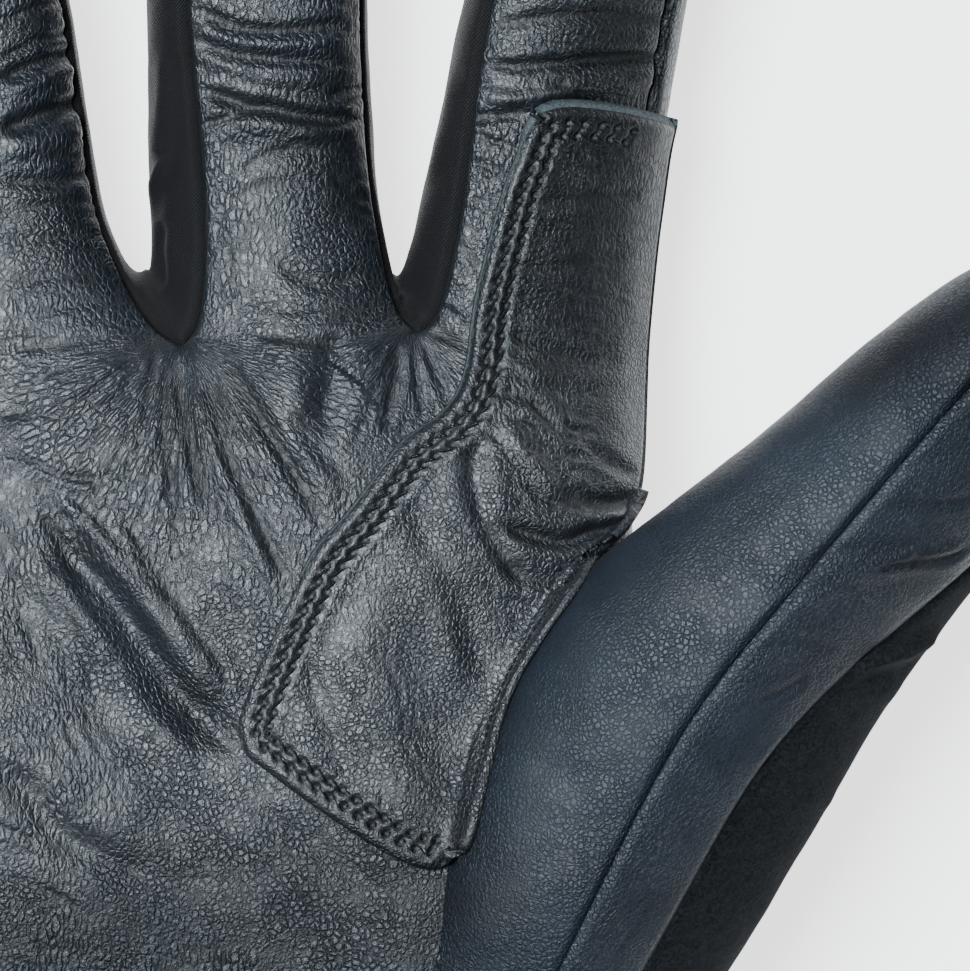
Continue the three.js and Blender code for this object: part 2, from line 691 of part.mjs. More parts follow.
// The leather and the fleece up to the seam line itself, which the stretch panels keep clear of.
const seamed = ["palm_leather", "back_fleece"].map((name) => panelSolid(hand, name, fleeceWall, 0));
for (const { name, wall, material } of handPanels) {
  let solid = panelSolid(hand, name, wall).subtract(thumbFilled);
  if (material === stretch && name !== "cuff_binding") {
    solid = seamed.reduce((rest, block) => rest.subtract(block), solid);
  }
  addPiece(name, solid, material);
}
for (const { name, wall, material } of thumbPanels) {
  addPiece(name, panelSolid(thumb, name, wall).subtract(handFilled), material);
}
addPiece("index_patch", buildPatch(hand, thumbFilled), patchLeather);

export default glove;
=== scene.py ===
import math
import random

import bmesh
import bpy
import numpy as np
from mathutils import Matrix, Vector, kdtree, noise
from mathutils.bvhtree import BVHTree


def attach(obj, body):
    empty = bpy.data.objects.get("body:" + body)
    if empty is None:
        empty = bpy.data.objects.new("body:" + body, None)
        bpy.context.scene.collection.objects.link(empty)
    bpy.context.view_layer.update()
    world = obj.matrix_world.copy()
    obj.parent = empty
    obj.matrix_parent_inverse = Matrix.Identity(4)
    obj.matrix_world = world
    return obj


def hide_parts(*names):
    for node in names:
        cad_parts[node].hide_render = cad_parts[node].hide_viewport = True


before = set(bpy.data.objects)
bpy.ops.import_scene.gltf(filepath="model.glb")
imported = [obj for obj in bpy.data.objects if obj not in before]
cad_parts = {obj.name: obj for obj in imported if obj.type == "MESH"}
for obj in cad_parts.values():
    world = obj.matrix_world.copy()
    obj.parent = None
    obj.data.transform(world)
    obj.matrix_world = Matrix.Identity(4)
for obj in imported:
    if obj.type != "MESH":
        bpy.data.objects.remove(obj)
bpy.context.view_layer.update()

random.seed(11)
noise.seed_set(11)
mm = 0.001

# The camera looks straight down at the palm. Places read from the photograph are in its pixels.
view = {
    "pixelsPerMm": 8.6,
    "originX": 185,
    "originY": 765,
    "imageWidth": 970,
    "imageHeight": 971,
    "lookHeight": 26,
    "cameraHeight": 1100,
    "sensor": 36,
}


def fromPhoto(px, py):
    return Vector(((px - view["originX"]) / view["pixelsPerMm"], (view["originY"] - py) / view["pixelsPerMm"]))


def toPhoto(x, y):
    return view["originX"] + x * view["pixelsPerMm"], view["originY"] - y * view["pixelsPerMm"]


def makeCamera():
    centre = fromPhoto(view["imageWidth"] / 2, view["imageHeight"] / 2)
    data = bpy.data.cameras.new("camera")
    data.sensor_fit = "HORIZONTAL"
    data.sensor_width = view["sensor"]
    seenWidth = view["imageWidth"] / view["pixelsPerMm"]
    data.lens = view["sensor"] * (view["cameraHeight"] - view["lookHeight"]) / seenWidth
    data.clip_start = 0.05
    data.clip_end = 10
    camera = bpy.data.objects.new("camera", data)
    camera.location = (centre.x * mm, centre.y * mm, view["cameraHeight"] * mm)
    bpy.context.scene.collection.objects.link(camera)
    bpy.context.scene.camera = camera


# The hand of the glove, in millimetres and degrees. Tables hold shares of these sizes.
handSizes = {
    "palmWidth": 108.6,
    "palmLength": 108,
    "palmThickness": 31,
    "wristY": -58,
    "cuffLength": 52,
    "bindingLength": 7,
    "crotchDip": 3.4,
    "crotchDipWidth": 6,
    "blendLength": 19,
    "palmHollow": 1.7,
    "roundness": 3,
    "fingerRoundness": 2.4,
    "corner": 72,
    "restShare": 0.86,
    "frontSegments": 4,
    "sideSegments": 3,
    "palmRows": 17,
    "cuffRows": 4,
}
fingerTable = [
    {"name": "little", "length": 61, "width": 24.2, "height": 21.5, "tilt": -15, "curl": 7, "lean": -0.12,
     "rootLeft": -62, "left": -62, "right": 74},
    {"name": "ring", "length": 77, "width": 26.4, "height": 23.5, "tilt": -7.6, "curl": 9, "lean": -0.235,
     "rootLeft": -36, "left": -36, "right": 76},
    {"name": "middle", "length": 84, "width": 27.8, "height": 24.5, "tilt": -1.7, "curl": 10, "lean": -0.174,
     "rootLeft": -17, "left": -37, "right": 76},
    {"name": "index", "length": 76, "width": 27.8, "height": 24, "tilt": 10.8, "curl": 8, "lean": -0.068,
     "rootLeft": -25, "left": -48, "right": 58, "slope": 0.32},
]
rootTable = [
    {"name": "outer_little", "across": 0, "along": 0.835, "deep": 0.835, "aside": 0},
    {"name": "ring_little", "across": 0.239, "along": 0.945, "deep": 1.0, "aside": -0.042},
    {"name": "middle_ring", "across": 0.52, "along": 0.99, "deep": 1.08, "aside": -0.05},
    {"name": "index_middle", "across": 0.782, "along": 1.009, "deep": 1.074, "aside": -0.033},
    {"name": "outer_index", "across": 1, "along": 0.926, "deep": 0.926, "aside": 0},
]
palmTable = [
    {"along": 0.0, "left": -0.41, "right": 0.375, "thick": 0.96},
    {"along": 0.17, "left": -0.44, "right": 0.385, "thick": 1.0},
    {"along": 0.36, "left": -0.478, "right": 0.4, "thick": 1.03},
    {"along": 0.55, "left": -0.5, "right": 0.43, "thick": 1.02},
    {"along": 0.73, "left": -0.512, "right": 0.464, "thick": 0.99},
    {"along": 0.88, "left": -0.51, "right": 0.469, "thick": 0.94},
    {"along": 1.0, "left": -0.5, "right": 0.465, "thick": 0.86},
]
cuffTable = [
    {"along": 1.0, "left": -0.412, "right": 0.392, "thick": 1.08},
    {"along": 0.55, "left": -0.405, "right": 0.384, "thick": 1.02},
    {"along": 0.0, "left": -0.41, "right": 0.375, "thick": 0.96},
]
fingerRings = [0.07, 0.14, 0.22, 0.29, 0.36, 0.43, 0.5, 0.57, 0.64, 0.71, 0.78, 0.85, 0.91, 0.955, 0.985]
thumbSizes = {"width": 42, "height": 37, "roundness": 2.2, "under": -118, "spans": (7, 3, 7),
              "sideSlope": 0.3}
thumbTable = [
    {"across": 0.24, "along": -0.444, "lift": 0.48, "wide": 0.85, "high": 0.58, "front": 6, "back": 26},
    {"across": 0.34, "along": -0.315, "lift": 0.58, "wide": 0.8, "high": 0.74, "front": 5, "back": 28},
    {"across": 0.423, "along": -0.155, "lift": 0.677, "wide": 0.945, "high": 0.93, "front": 3, "back": 25},
    {"across": 0.484, "along": -0.037, "lift": 0.726, "wide": 0.985, "high": 0.97, "front": 2, "back": 25},
    {"across": 0.545, "along": 0.073, "lift": 0.774, "wide": 1.0, "high": 0.965, "front": 2, "back": 25},
    {"across": 0.648, "along": 0.181, "lift": 0.839, "wide": 0.824, "high": 0.89, "front": -1, "back": 34},
    {"across": 0.745, "along": 0.283, "lift": 0.887, "wide": 0.729, "high": 0.81, "front": -6, "back": 57},
    {"across": 0.852, "along": 0.389, "lift": 0.952, "wide": 0.681, "high": 0.735, "front": -12, "back": 70},
    {"across": 0.926, "along": 0.458, "lift": 1.0, "wide": 0.6, "high": 0.65, "front": -16, "back": 72},
    {"across": 0.977, "along": 0.507, "lift": 1.032, "wide": 0.43, "high": 0.465, "front": -18, "back": 72},
    {"across": 1.002, "along": 0.532, "lift": 1.052, "wide": 0.215, "high": 0.232, "front": -18, "back": 72},
    {"across": 1.012, "along": 0.541, "lift": 1.058, "wide": 0, "high": 0, "front": -18, "back": 72},
]
palmPads = [
    {"start": (-0.34, 0.26), "end": (0.02, 0.05), "rise": -1.9, "spread": 5.5},
    {"start": (-0.36, 0.12), "end": (-0.06, -0.06), "rise": 1.2, "spread": 6.5},
    {"start": (-0.26, 0.35), "end": (-0.12, 0.25), "rise": -1.3, "spread": 4.5},
    {"start": (0.04, 0.34), "end": (0.12, 0.38), "rise": 1.6, "spread": 9},
    {"start": (0.3, 0.33), "end": (0.4, 0.36), "rise": 1.4, "spread": 9},
    {"start": (0.38, 0.2), "end": (0.27, 0.05), "rise": -1.6, "spread": 6},
    {"start": (-0.36, -0.2), "end": (-0.33, 0.0), "rise": 1.4, "spread": 14},
    {"start": (-0.4, -0.46), "end": (0.1, -0.46), "rise": -3.2, "spread": 24},
    {"start": (0.27, -0.3), "end": (0.27, -0.17), "rise": 2.2, "spread": 9},
]
panelNames = [
    "palm_leather", "index_side", "fourchette_index_middle", "fourchette_middle_ring", "fourchette_ring_little",
    "back_fleece", "cuff", "cuff_binding", "thumb_front", "thumb_side", "thumb_back",
]


def mix(a, b, share):
    return a + (b - a) * share


def smoothstep(value, low, high):
    share = min(1, max(0, (value - low) / (high - low)))
    return share * share * (3 - 2 * share)


def between(table, column, along):
    rows = sorted(table, key=lambda row: row["along"])
    high = next((i for i, row in enumerate(rows) if row["along"] >= along), len(rows) - 1)
    high = max(1, high)
    low = high - 1
    share = (along - rows[low]["along"]) / (rows[high]["along"] - rows[low]["along"])
    share = min(1, max(0, share))
    before, a, b, after = (rows[i][column] for i in (max(0, low - 1), low, high, min(len(rows) - 1, high + 1)))
    square, cube = share * share, share ** 3
    return 0.5 * (2 * a + (b - before) * share + (2 * before - 5 * a + 4 * b - after) * square
                  + (3 * a - before - 3 * b + after) * cube)


def onOval(degrees, roundness):
    sine, cosine = math.sin(math.radians(degrees)), math.cos(math.radians(degrees))
    return (math.copysign(abs(sine) ** (2 / roundness), sine),
            math.copysign(abs(cosine) ** (2 / roundness), cosine))


def atRoot(column, index):
    segments = handSizes["frontSegments"]
    finger = min(len(fingerTable) - 1, index // segments)
    return mix(rootTable[finger][column], rootTable[finger + 1][column], index / segments - finger)


def palmRelief(x, y):
    sizes = handSizes
    rise = 0
    for pad in palmPads:
        start = Vector((pad["start"][0] * sizes["palmWidth"], pad["start"][1] * sizes["palmLength"]))
        end = Vector((pad["end"][0] * sizes["palmWidth"], pad["end"][1] * sizes["palmLength"]))
        run, here = end - start, Vector((x, y)) - start
        share = min(1, max(0, here.dot(run) / run.length_squared))
        rise += pad["rise"] * math.exp(-(((here - run * share).length / pad["spread"]) ** 2))
    cup = math.exp(-((x / (0.26 * sizes["palmWidth"])) ** 2)
                   - (((y / sizes["palmLength"]) + 0.05) / 0.33) ** 2)
    return rise - sizes["palmHollow"] * cup


def palmRing(section, yOf, relief, dip):
    sizes = handSizes
    count = sizes["frontSegments"] * len(fingerTable)
    half = section["thick"] * sizes["palmThickness"] / 2
    corner = onOval(sizes["corner"], sizes["roundness"])[0]

    def place(shareX, degrees, y):
        x = mix(section["left"], section["right"], shareX) * sizes["palmWidth"]
        return Vector((x, y, half + half * onOval(degrees, sizes["roundness"])[1]))

    def angleAt(shareX):
        across = (2 * shareX - 1) * corner
        return math.copysign(math.degrees(math.asin(abs(across) ** (sizes["roundness"] / 2))), across)

    def side(shareX, sign, step):
        degrees = mix(sizes["corner"], 180 - sizes["corner"], step / sizes["sideSegments"])
        point = place(shareX, degrees, yOf(shareX * count))
        bulge = (onOval(degrees, sizes["roundness"])[0] - corner) * (section["right"] - section["left"])
        point.x += sign * bulge * sizes["palmWidth"] / 2
        return point

    ring = []
    for i in range(count + 1):
        share = atRoot("across", i)
        point = place(share, angleAt(share), yOf(i))
        point.z += palmRelief(point.x, point.y) * math.sin(math.pi * share) ** 0.5 * relief
        for root in rootTable[1:-1]:
            rootX = mix(section["left"], section["right"], root["across"]) * sizes["palmWidth"]
            point.z -= sizes["crotchDip"] * dip * math.exp(-(((point.x - rootX) / sizes["crotchDipWidth"]) ** 2))
        ring.append(point)
    ring += [side(1, 1, step) for step in range(1, sizes["sideSegments"])]
    for i in range(count, -1, -1):
        share = atRoot("across", i)
        point = place(share, 180 - angleAt(share), yOf(i))
        if abs(2 * share - 1) < sizes["restShare"]:
            point.z = 0
        ring.append(point)
    ring += [side(0, -1, step) for step in range(sizes["sideSegments"] - 1, 0, -1)]
    return ring


def fingerOval(finger, root, share):
    front, sides = handSizes["frontSegments"], handSizes["sideSegments"]
    turn = math.radians(finger["tilt"])
    forward, aside = Vector((math.sin(turn), math.cos(turn), 0)), Vector((math.cos(turn), -math.sin(turn), 0))
    dome = max(0, (share - 0.78) / 0.22)
    rounding = math.sqrt(max(0, 1 - dome ** 2.3))
    taper = 1 - 0.1 * share
    halfWidth = finger["width"] / 2 * taper * mix(0.42, 1, rounding)
    halfHeight = finger["height"] / 2 * taper * rounding
    centre = root + forward * finger["length"] * share
    centre.z = finger["height"] / 2 + finger["curl"] * share ** 2 + 0.06 * finger["height"] * dome ** 2
    left = mix(finger["rootLeft"], finger["left"], min(1, share / 0.45))
    stops = [left, finger["right"], 114, 246, left + 360]
    ring = []
    for i, segments in enumerate((front, sides, front, sides)):
        for step in range(segments):
            across, up = onOval(mix(stops[i], stops[i + 1], step / segments), handSizes["fingerRoundness"])
            point = centre + aside * halfWidth * across
            point.z = max(0, point.z + halfHeight * up - finger.get("slope", 0) * halfWidth * across * max(0, up))
            ring.append(point)
    return ring


def edgeOf(one, two):
    return next(edge for edge in one.link_edges if edge.other_vert(one) is two)


# A ring drawn out to its next places, with each new face marked with its panel.
def drawOut(net, ring, places, panelOf):
    edges = [edgeOf(vert, ring[(i + 1) % len(ring)]) for i, vert in enumerate(ring)]
    made = bmesh.ops.extrude_edge_only(net, edges=edges)["geom"]
    verts = {item for item in made if isinstance(item, bmesh.types.BMVert)}
    faces = {item for item in made if isinstance(item, bmesh.types.BMFace)}
    far = [next(e.other_vert(v) for e in v.link_edges if e.other_vert(v) in verts) for v in ring]
    layer = net.faces.layers.int["panel"]
    for i, edge in enumerate(edges):
        face = next(face for face in edge.link_faces if face in faces)
        face[layer] = panelNames.index(panelOf(i))
    for vert, place in zip(far, places):
        vert.co = place
    return far


def startNet(places):
    net = bmesh.new()
    net.faces.layers.int.new("panel")
    ring = bmesh.ops.create_circle(net, segments=len(places), radius=1)["verts"]
    for vert, place in zip(ring, places):
        vert.co = place
    return net, ring


def finishNet(net):
    bmesh.ops.remove_doubles(net, verts=net.verts, dist=0.02)
    bmesh.ops.recalc_face_normals(net, faces=net.faces)
    return net


def buildHandNet():
    sizes = handSizes
    front, sides = sizes["frontSegments"], sizes["sideSegments"]
    count = front * len(fingerTable)
    binding = 1 - sizes["bindingLength"] / sizes["cuffLength"]
    stops = [1] + [mix(binding, 0, row / sizes["cuffRows"]) for row in range(sizes["cuffRows"])]
    rings = []
    for along in stops:
        section = {column: between(cuffTable, column, along) for column in ("left", "right", "thick")}
        y = sizes["wristY"] - along * sizes["cuffLength"]
        rings.append(palmRing(section, lambda i, y=y: y, 0, 0))
    for row in range(sizes["palmRows"] + 1):
        along = row / sizes["palmRows"]
        section = {column: between(palmTable, column, along) for column in ("left", "right", "thick")}

        def yOf(i, along=along):
            low = int(min(i, count))
            return sizes["wristY"] + along * sizes["palmLength"] * atRoot("along", low)

        rings.append(palmRing(section, yOf, min(1, along / 0.17), smoothstep(along, 0.72, 1)))
    net, ring = startNet(rings[0])
    backStart = count + sides
    for number, places in enumerate(rings[1:]):
        if number == 0:
            panelOf = lambda i: "cuff_binding"
        elif number <= sizes["cuffRows"]:
            panelOf = lambda i: "cuff"
        else:
            panelOf = lambda i: "back_fleece" if backStart <= i < backStart + count else "palm_leather"
        ring = drawOut(net, ring, places, panelOf)

    backVert = lambda i: ring[backStart + count - i]
    crotches = []
    for r, root in enumerate(rootTable[1:-1], 1):
        top, under = ring[r * front], backVert(r * front)
        column = []
        for step in range(1, sides):
            place = top.co.lerp(under.co, step / sides)
            place.x += root["aside"] * sizes["palmWidth"]
            place.y = sizes["wristY"] + root["deep"] * sizes["palmLength"]
            column.append(net.verts.new(place))
        for one, two in zip([top] + column, column + [under]):
            net.edges.new((one, two))
        crotches.append(column)
    for f, finger in enumerate(fingerTable):
        first, last = f * front, (f + 1) * front
        outer = f == len(fingerTable) - 1
        right = ring[count:backStart] if outer else [ring[last]] + crotches[f]
        left = ([backVert(0)] + ring[backStart + count + 1:] if f == 0
                else [backVert(first)] + crotches[f - 1][::-1])
        base = ring[first:last] + right + [backVert(i) for i in range(last, first, -1)] + left
        baseAt = [vert.co.copy() for vert in base]
        rightName = "index_side" if outer else f"fourchette_{rootTable[f + 1]['name']}"
        leftName = "palm_leather" if f == 0 else f"fourchette_{rootTable[f]['name']}"
        names = ["palm_leather"] * front + [rightName] * sides + ["back_fleece"] * front + [leftName] * sides
        root = (ring[first].co + ring[last].co) / 2
        root.x += finger["lean"] * finger["width"]
        near = base
        for share in fingerRings:
            weight = smoothstep(share * finger["length"], 0, sizes["blendLength"])
            places = [a.lerp(b, weight) for a, b in zip(baseAt, fingerOval(finger, root, share))]
            near = drawOut(net, near, places, lambda i: names[i])
        end = fingerOval(finger, root, 1)
        leftEnd, rightEnd = (end[0] + end[-sides]) / 2, (end[front] + end[front + sides]) / 2
        seam = [leftEnd.lerp(rightEnd, i / front) for i in range(front + 1)]
        closing = seam[:front] + [seam[front]] * sides + seam[:0:-1] + [seam[0]] * sides
        drawOut(net, near, closing, lambda i: names[i])
    return finishNet(net)


def buildThumbNet():
    sizes = handSizes
    names = [name for name, span in zip(("thumb_front", "thumb_side", "thumb_back"), thumbSizes["spans"])
             for step in range(span)]
    centres = [Vector((row["across"] * sizes["palmWidth"], row["along"] * sizes["palmLength"],
                       row["lift"] * sizes["palmThickness"])) for row in thumbTable]
    rings = []
    for r, row in enumerate(thumbTable):
        forward = centres[min(len(centres) - 1, r + 1)] - centres[max(0, r - 1)]
        aside = Vector((forward.y, -forward.x, 0)).normalized()
        stops = [thumbSizes["under"], row["front"], row["back"], thumbSizes["under"] + 360]
        ring = []
        for i, span in enumerate(thumbSizes["spans"]):
            for step in range(span):
                across, up = onOval(mix(stops[i], stops[i + 1], step / span), thumbSizes["roundness"])
                point = centres[r] + aside * row["wide"] * thumbSizes["width"] * across / 2
                point.z += row["high"] * thumbSizes["height"] * up / 2
                ridge = onOval(row["front"], thumbSizes["roundness"])[0]
                past = max(0, across - ridge) * row["wide"] * thumbSizes["width"] / 2
                point.z -= thumbSizes["sideSlope"] * past * max(0, up)
                ring.append(point)
        rings.append(ring)
    net, ring = startNet(rings[0])
    for places in rings[1:]:
        ring = drawOut(net, ring, places, lambda i: names[i])
    return finishNet(net)


# The net as a smooth bmesh, still marked with its panels.
def smoothNet(net, levels):
    data = bpy.data.meshes.new("net")
    net.to_mesh(data)
    thing = bpy.data.objects.new("net", data)
    bpy.context.scene.collection.objects.link(thing)
    modifier = thing.modifiers.new("smooth", "SUBSURF")
    modifier.levels = modifier.render_levels = levels
    bpy.context.view_layer.update()
    smooth = bmesh.new()
    smooth.from_object(thing, bpy.context.evaluated_depsgraph_get())
    bpy.data.objects.remove(thing)
    bpy.data.meshes.remove(data)
    return smooth


# Each body as one closed surface, to tell what lies inside it.
def closedTree(fine):
    capped = fine.copy()
    bmesh.ops.holes_fill(capped, edges=[edge for edge in capped.edges if edge.is_boundary], sides=0)
    tree = BVHTree.FromBMesh(capped)
    capped.free()
    return tree


def isInside(tree, point, depth):
    near, normal, index, distance = tree.find_nearest(point)
    return distance > depth and (point - near).dot(normal) < 0


handNet = buildHandNet()
thumbNet = buildThumbNet()
handFine = smoothNet(handNet, 4)
thumbFine = smoothNet(thumbNet, 4)
handTree = closedTree(handFine)
thumbTree = closedTree(thumbFine)
print("smooth skins", len(handFine.faces), len(thumbFine.faces))


# Points along a panel's seams, to tell how far a place is from them.
def seamTree(fine, name):
    layer = fine.faces.layers.int["panel"]
    own = panelNames.index(name)
    points = []
    for edge in fine.edges:
        panels = {face[layer] for face in edge.link_faces}
        if own in panels and len(panels) > 1:
            points.append((edge.verts[0].co + edge.verts[1].co) / 2)
    tree = kdtree.KDTree(max(1, len(points)))
    for i, point in enumerate(points or [Vector((0, 0, -1000))]):
        tree.insert(point, i)
    tree.balance()
    return tree


def cutPanel(source, name, otherTree):
    piece = source.copy()
    layer = piece.faces.layers.int["panel"]
    own = panelNames.index(name)
    hidden = {vert for vert in piece.verts if isInside(otherTree, vert.co, 2)}
    drop = [face for face in piece.faces if face[layer] != own or all(vert in hidden for vert in face.verts)]
    bmesh.ops.delete(piece, geom=drop, context="FACES")
    return piece


# The open sheet becomes a closed one: the copy stays as the outside and the first one moves in.
def giveWall(piece, wall):
    piece.normal_update()
    layer = piece.faces.layers.int.new("outer")
    inward = [(vert, vert.normal.copy()) for vert in piece.verts]
    made = bmesh.ops.extrude_face_region(piece, geom=piece.faces[:] + piece.edges[:], use_keep_orig=True)["geom"]
    fresh = {item for item in made if isinstance(item, bmesh.types.BMVert)}
    for vert, normal in inward:
        vert.co -= normal * wall
    for face in piece.faces:
        face[layer] = int(all(vert in fresh for vert in face.verts))
    bmesh.ops.recalc_face_normals(piece, faces=piece.faces)


def inView(point, margin):
    px, py = toPhoto(point.x, point.y)
    return -margin < px < view["imageWidth"] + margin and -margin < py < view["imageHeight"] + margin


def refine(piece, tree, cuts, wanted):
    layer = piece.faces.layers.int["outer"]
    chosen = [face for face in piece.faces if face[layer] and wanted(face)]
    edges = {edge for face in chosen for edge in face.edges}
    old = set(piece.verts)
    bmesh.ops.subdivide_edges(piece, edges=list(edges), cuts=cuts, use_grid_fill=True)
    outer = {vert for face in piece.faces if face[layer] for vert in face.verts}
    for vert in outer:
        if vert not in old:
            vert.co = tree.find_nearest(vert.co)[0]
    piece.normal_update()


def finishPiece(piece, name, node, material):
    bmesh.ops.scale(piece, vec=(mm, mm, mm), verts=piece.verts)
    for face in piece.faces:
        face.smooth = True
    data = bpy.data.meshes.new(name)
    piece.to_mesh(data)
    piece.free()
    data.materials.append(material)
    thing = bpy.data.objects.new(name, data)
    bpy.context.scene.collection.objects.link(thing)
    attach(thing, "root")
    if node:
        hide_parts(node)
    data.calc_loop_triangles()
    print(name, len(data.loop_triangles), "triangles")
    return thing


# Creases and ridges, each drawn through a few places of the photograph. rise is in millimetres,
# negative for a groove, and wide is its half width in pixels. Narrow grooves also give painted shade.
ringFolds = [
    {"line": [(-4, 60), (30, 44), (78, 24)], "rise": -0.55, "wide": 5},
    {"line": [(-4, 82), (30, 65), (78, 44)], "rise": -0.9, "wide": 7},
    {"line": [(-4, 98), (40, 80), (82, 62)], "rise": 0.5, "wide": 8},
    {"line": [(-6, 132), (40, 115), (90, 92)], "rise": -1.3, "wide": 8},
    {"line": [(-6, 178), (40, 182), (70, 175), (98, 163)], "rise": -0.6, "wide": 6},
    {"line": [(-6, 150), (40, 146), (90, 126)], "rise": 0.5, "wide": 11},
    {"line": [(-6, 240), (40, 238), (84, 234)], "rise": -0.4, "wide": 4},
    {"line": [(0, 285), (50, 275), (110, 270)], "rise": -0.3, "wide": 6},
    {"line": [(0, 212), (40, 205), (100, 196)], "rise": -0.25, "wide": 3.5},
    {"line": [(20, 320), (70, 305), (130, 300)], "rise": -0.25, "wide": 4},
    {"line": [(0, 20), (40, 4), (70, -10)], "rise": -0.4, "wide": 4},
]
middleFolds = [
    {"line": [(183, 4), (210, 15), (240, 28), (290, 30), (362, 18)], "rise": -0.75, "wide": 6},
    {"line": [(183, 34), (235, 55), (300, 60), (364, 62)], "rise": -0.5, "wide": 4.5},
    {"line": [(186, 50), (260, 75), (345, 80)], "rise": 0.55, "wide": 9},
    {"line": [(183, 20), (235, 40), (300, 44), (362, 38)], "rise": 0.35, "wide": 6},
    {"line": [(188, 84), (245, 105), (270, 108), (300, 115), (340, 118), (370, 114)], "rise": -1.35, "wide": 6.5},
    {"line": [(196, 127), (230, 116), (258, 107)], "rise": -0.6, "wide": 4},
    {"line": [(210, 134), (270, 128), (340, 134)], "rise": 0.5, "wide": 10},
    {"line": [(326, 102), (346, 88), (368, 82)], "rise": -0.45, "wide": 4},
    {"line": [(340, 108), (356, 95), (372, 92)], "rise": -0.35, "wide": 3.5},
    {"line": [(238, 192), (250, 165), (290, 150), (332, 150)], "rise": -0.3, "wide": 5},
    {"line": [(228, 202), (262, 186), (312, 182)], "rise": -0.28, "wide": 5},
    {"line": [(266, 248), (300, 276), (330, 285), (370, 268)], "rise": -0.4, "wide": 7},
    {"line": [(246, 332), (300, 341), (350, 338), (392, 324)], "rise": -0.45, "wide": 6},
    {"line": [(205, 215), (225, 240), (232, 290)], "rise": -0.3, "wide": 5},
    {"line": [(330, 170), (352, 190), (372, 200)], "rise": -0.3, "wide": 4},
    {"line": [(300, 210), (340, 222), (372, 222)], "rise": -0.25, "wide": 4},
    {"line": [(240, 300), (290, 310), (350, 300)], "rise": -0.22, "wide": 4},
]
indexFolds = [
    {"line": [(478, 30), (530, 20), (600, 14), (690, 22)], "rise": -0.6, "wide": 7},
    {"line": [(470, 62), (520, 66), (600, 58), (690, 52)], "rise": -0.9, "wide": 6},
    {"line": [(468, 92), (520, 98), (560, 90), (620, 80), (684, 74)], "rise": 0.8, "wide": 9},
    {"line": [(462, 116), (500, 116), (530, 108)], "rise": -0.6, "wide": 6},
    {"line": [(455, 160), (485, 165), (512, 178)], "rise": -0.35, "wide": 4},
    {"line": [(458, 130), (490, 140), (520, 150)], "rise": -0.3, "wide": 3.5},
    {"line": [(450, 200), (475, 210), (500, 228)], "rise": -0.3, "wide": 3.5},
    {"line": [(448, 238), (468, 252), (482, 280)], "rise": -0.35, "wide": 4},
    {"line": [(430, 305), (450, 312), (470, 330)], "rise": -0.3, "wide": 4},
]
palmFolds = [
    {"line": [(-6, 450), (30, 460), (60, 475), (85, 480), (112, 476)], "rise": -0.55, "wide": 3},
    {"line": [(134, 353), (60, 400), (-8, 442)], "rise": 0.75, "wide": 14},
    {"line": [(70, 398), (30, 410), (-8, 418)], "rise": -0.8, "wide": 13},
    {"line": [(40, 510), (56, 532), (72, 552)], "rise": -0.7, "wide": 3.5},
    {"line": [(36, 500), (60, 540), (100, 582), (130, 622), (180, 692), (230, 742), (256, 760)], "rise": -1.7,
     "wide": 17},
    {"line": [(78, 520), (120, 570), (170, 640), (230, 712)], "rise": 0.8, "wide": 20},
    {"line": [(20, 545), (60, 590), (110, 650), (150, 720), (210, 772)], "rise": 0.6, "wide": 15},
    {"line": [(158, 346), (150, 390), (144, 432)], "rise": -0.4, "wide": 4},
    {"line": [(165, 352), (166, 410), (170, 480), (182, 524)], "rise": -0.6, "wide": 6},
    {"line": [(172, 350), (186, 420), (200, 480), (216, 524)], "rise": -0.75, "wide": 7},
    {"line": [(200, 352), (218, 420), (240, 480), (270, 545), (302, 602)], "rise": -0.6, "wide": 7},
    {"line": [(215, 348), (250, 400), (282, 450), (310, 500), (332, 540)], "rise": -0.7, "wide": 8},
    {"line": [(190, 352), (205, 410), (225, 470), (250, 530), (280, 600)], "rise": 0.5, "wide": 9},
    {"line": [(232, 350), (268, 400), (300, 450), (350, 500)], "rise": 0.4, "wide": 9},
    {"line": [(402, 335), (396, 380), (384, 440)], "rise": -0.5, "wide": 6},
    {"line": [(415, 338), (418, 380), (424, 424)], "rise": -0.4, "wide": 4},
    {"line": [(420, 334), (436, 366), (452, 398)], "rise": -0.4, "wide": 4},
    {"line": [(430, 330), (448, 338), (468, 352)], "rise": -0.4, "wide": 4},
    {"line": [(338, 325), (332, 380), (326, 445)], "rise": -1.0, "wide": 16},
    {"line": [(270, 330), (285, 380), (300, 430)], "rise": 0.6, "wide": 18},
    {"line": [(-10, 752), (30, 790), (60, 830), (110, 860), (175, 882)], "rise": -0.9, "wide": 16},
    {"line": [(-6, 820), (18, 832), (44, 842)], "rise": -0.4, "wide": 3.5},
    {"line": [(-6, 870), (50, 890), (102, 922)], "rise": -0.25, "wide": 3.5},
    {"line": [(120, 500), (150, 560), (190, 620), (240, 690)], "rise": -0.4, "wide": 6},
    {"line": [(60, 480), (110, 530), (160, 590)], "rise": -0.35, "wide": 5},
    {"line": [(20, 470), (50, 500), (90, 560)], "rise": -0.35, "wide": 5},
    {"line": [(250, 800), (320, 850), (400, 900)], "rise": -0.35, "wide": 12},
    {"line": [(-4, 350), (50, 345), (120, 335)], "rise": -0.3, "wide": 6},
]
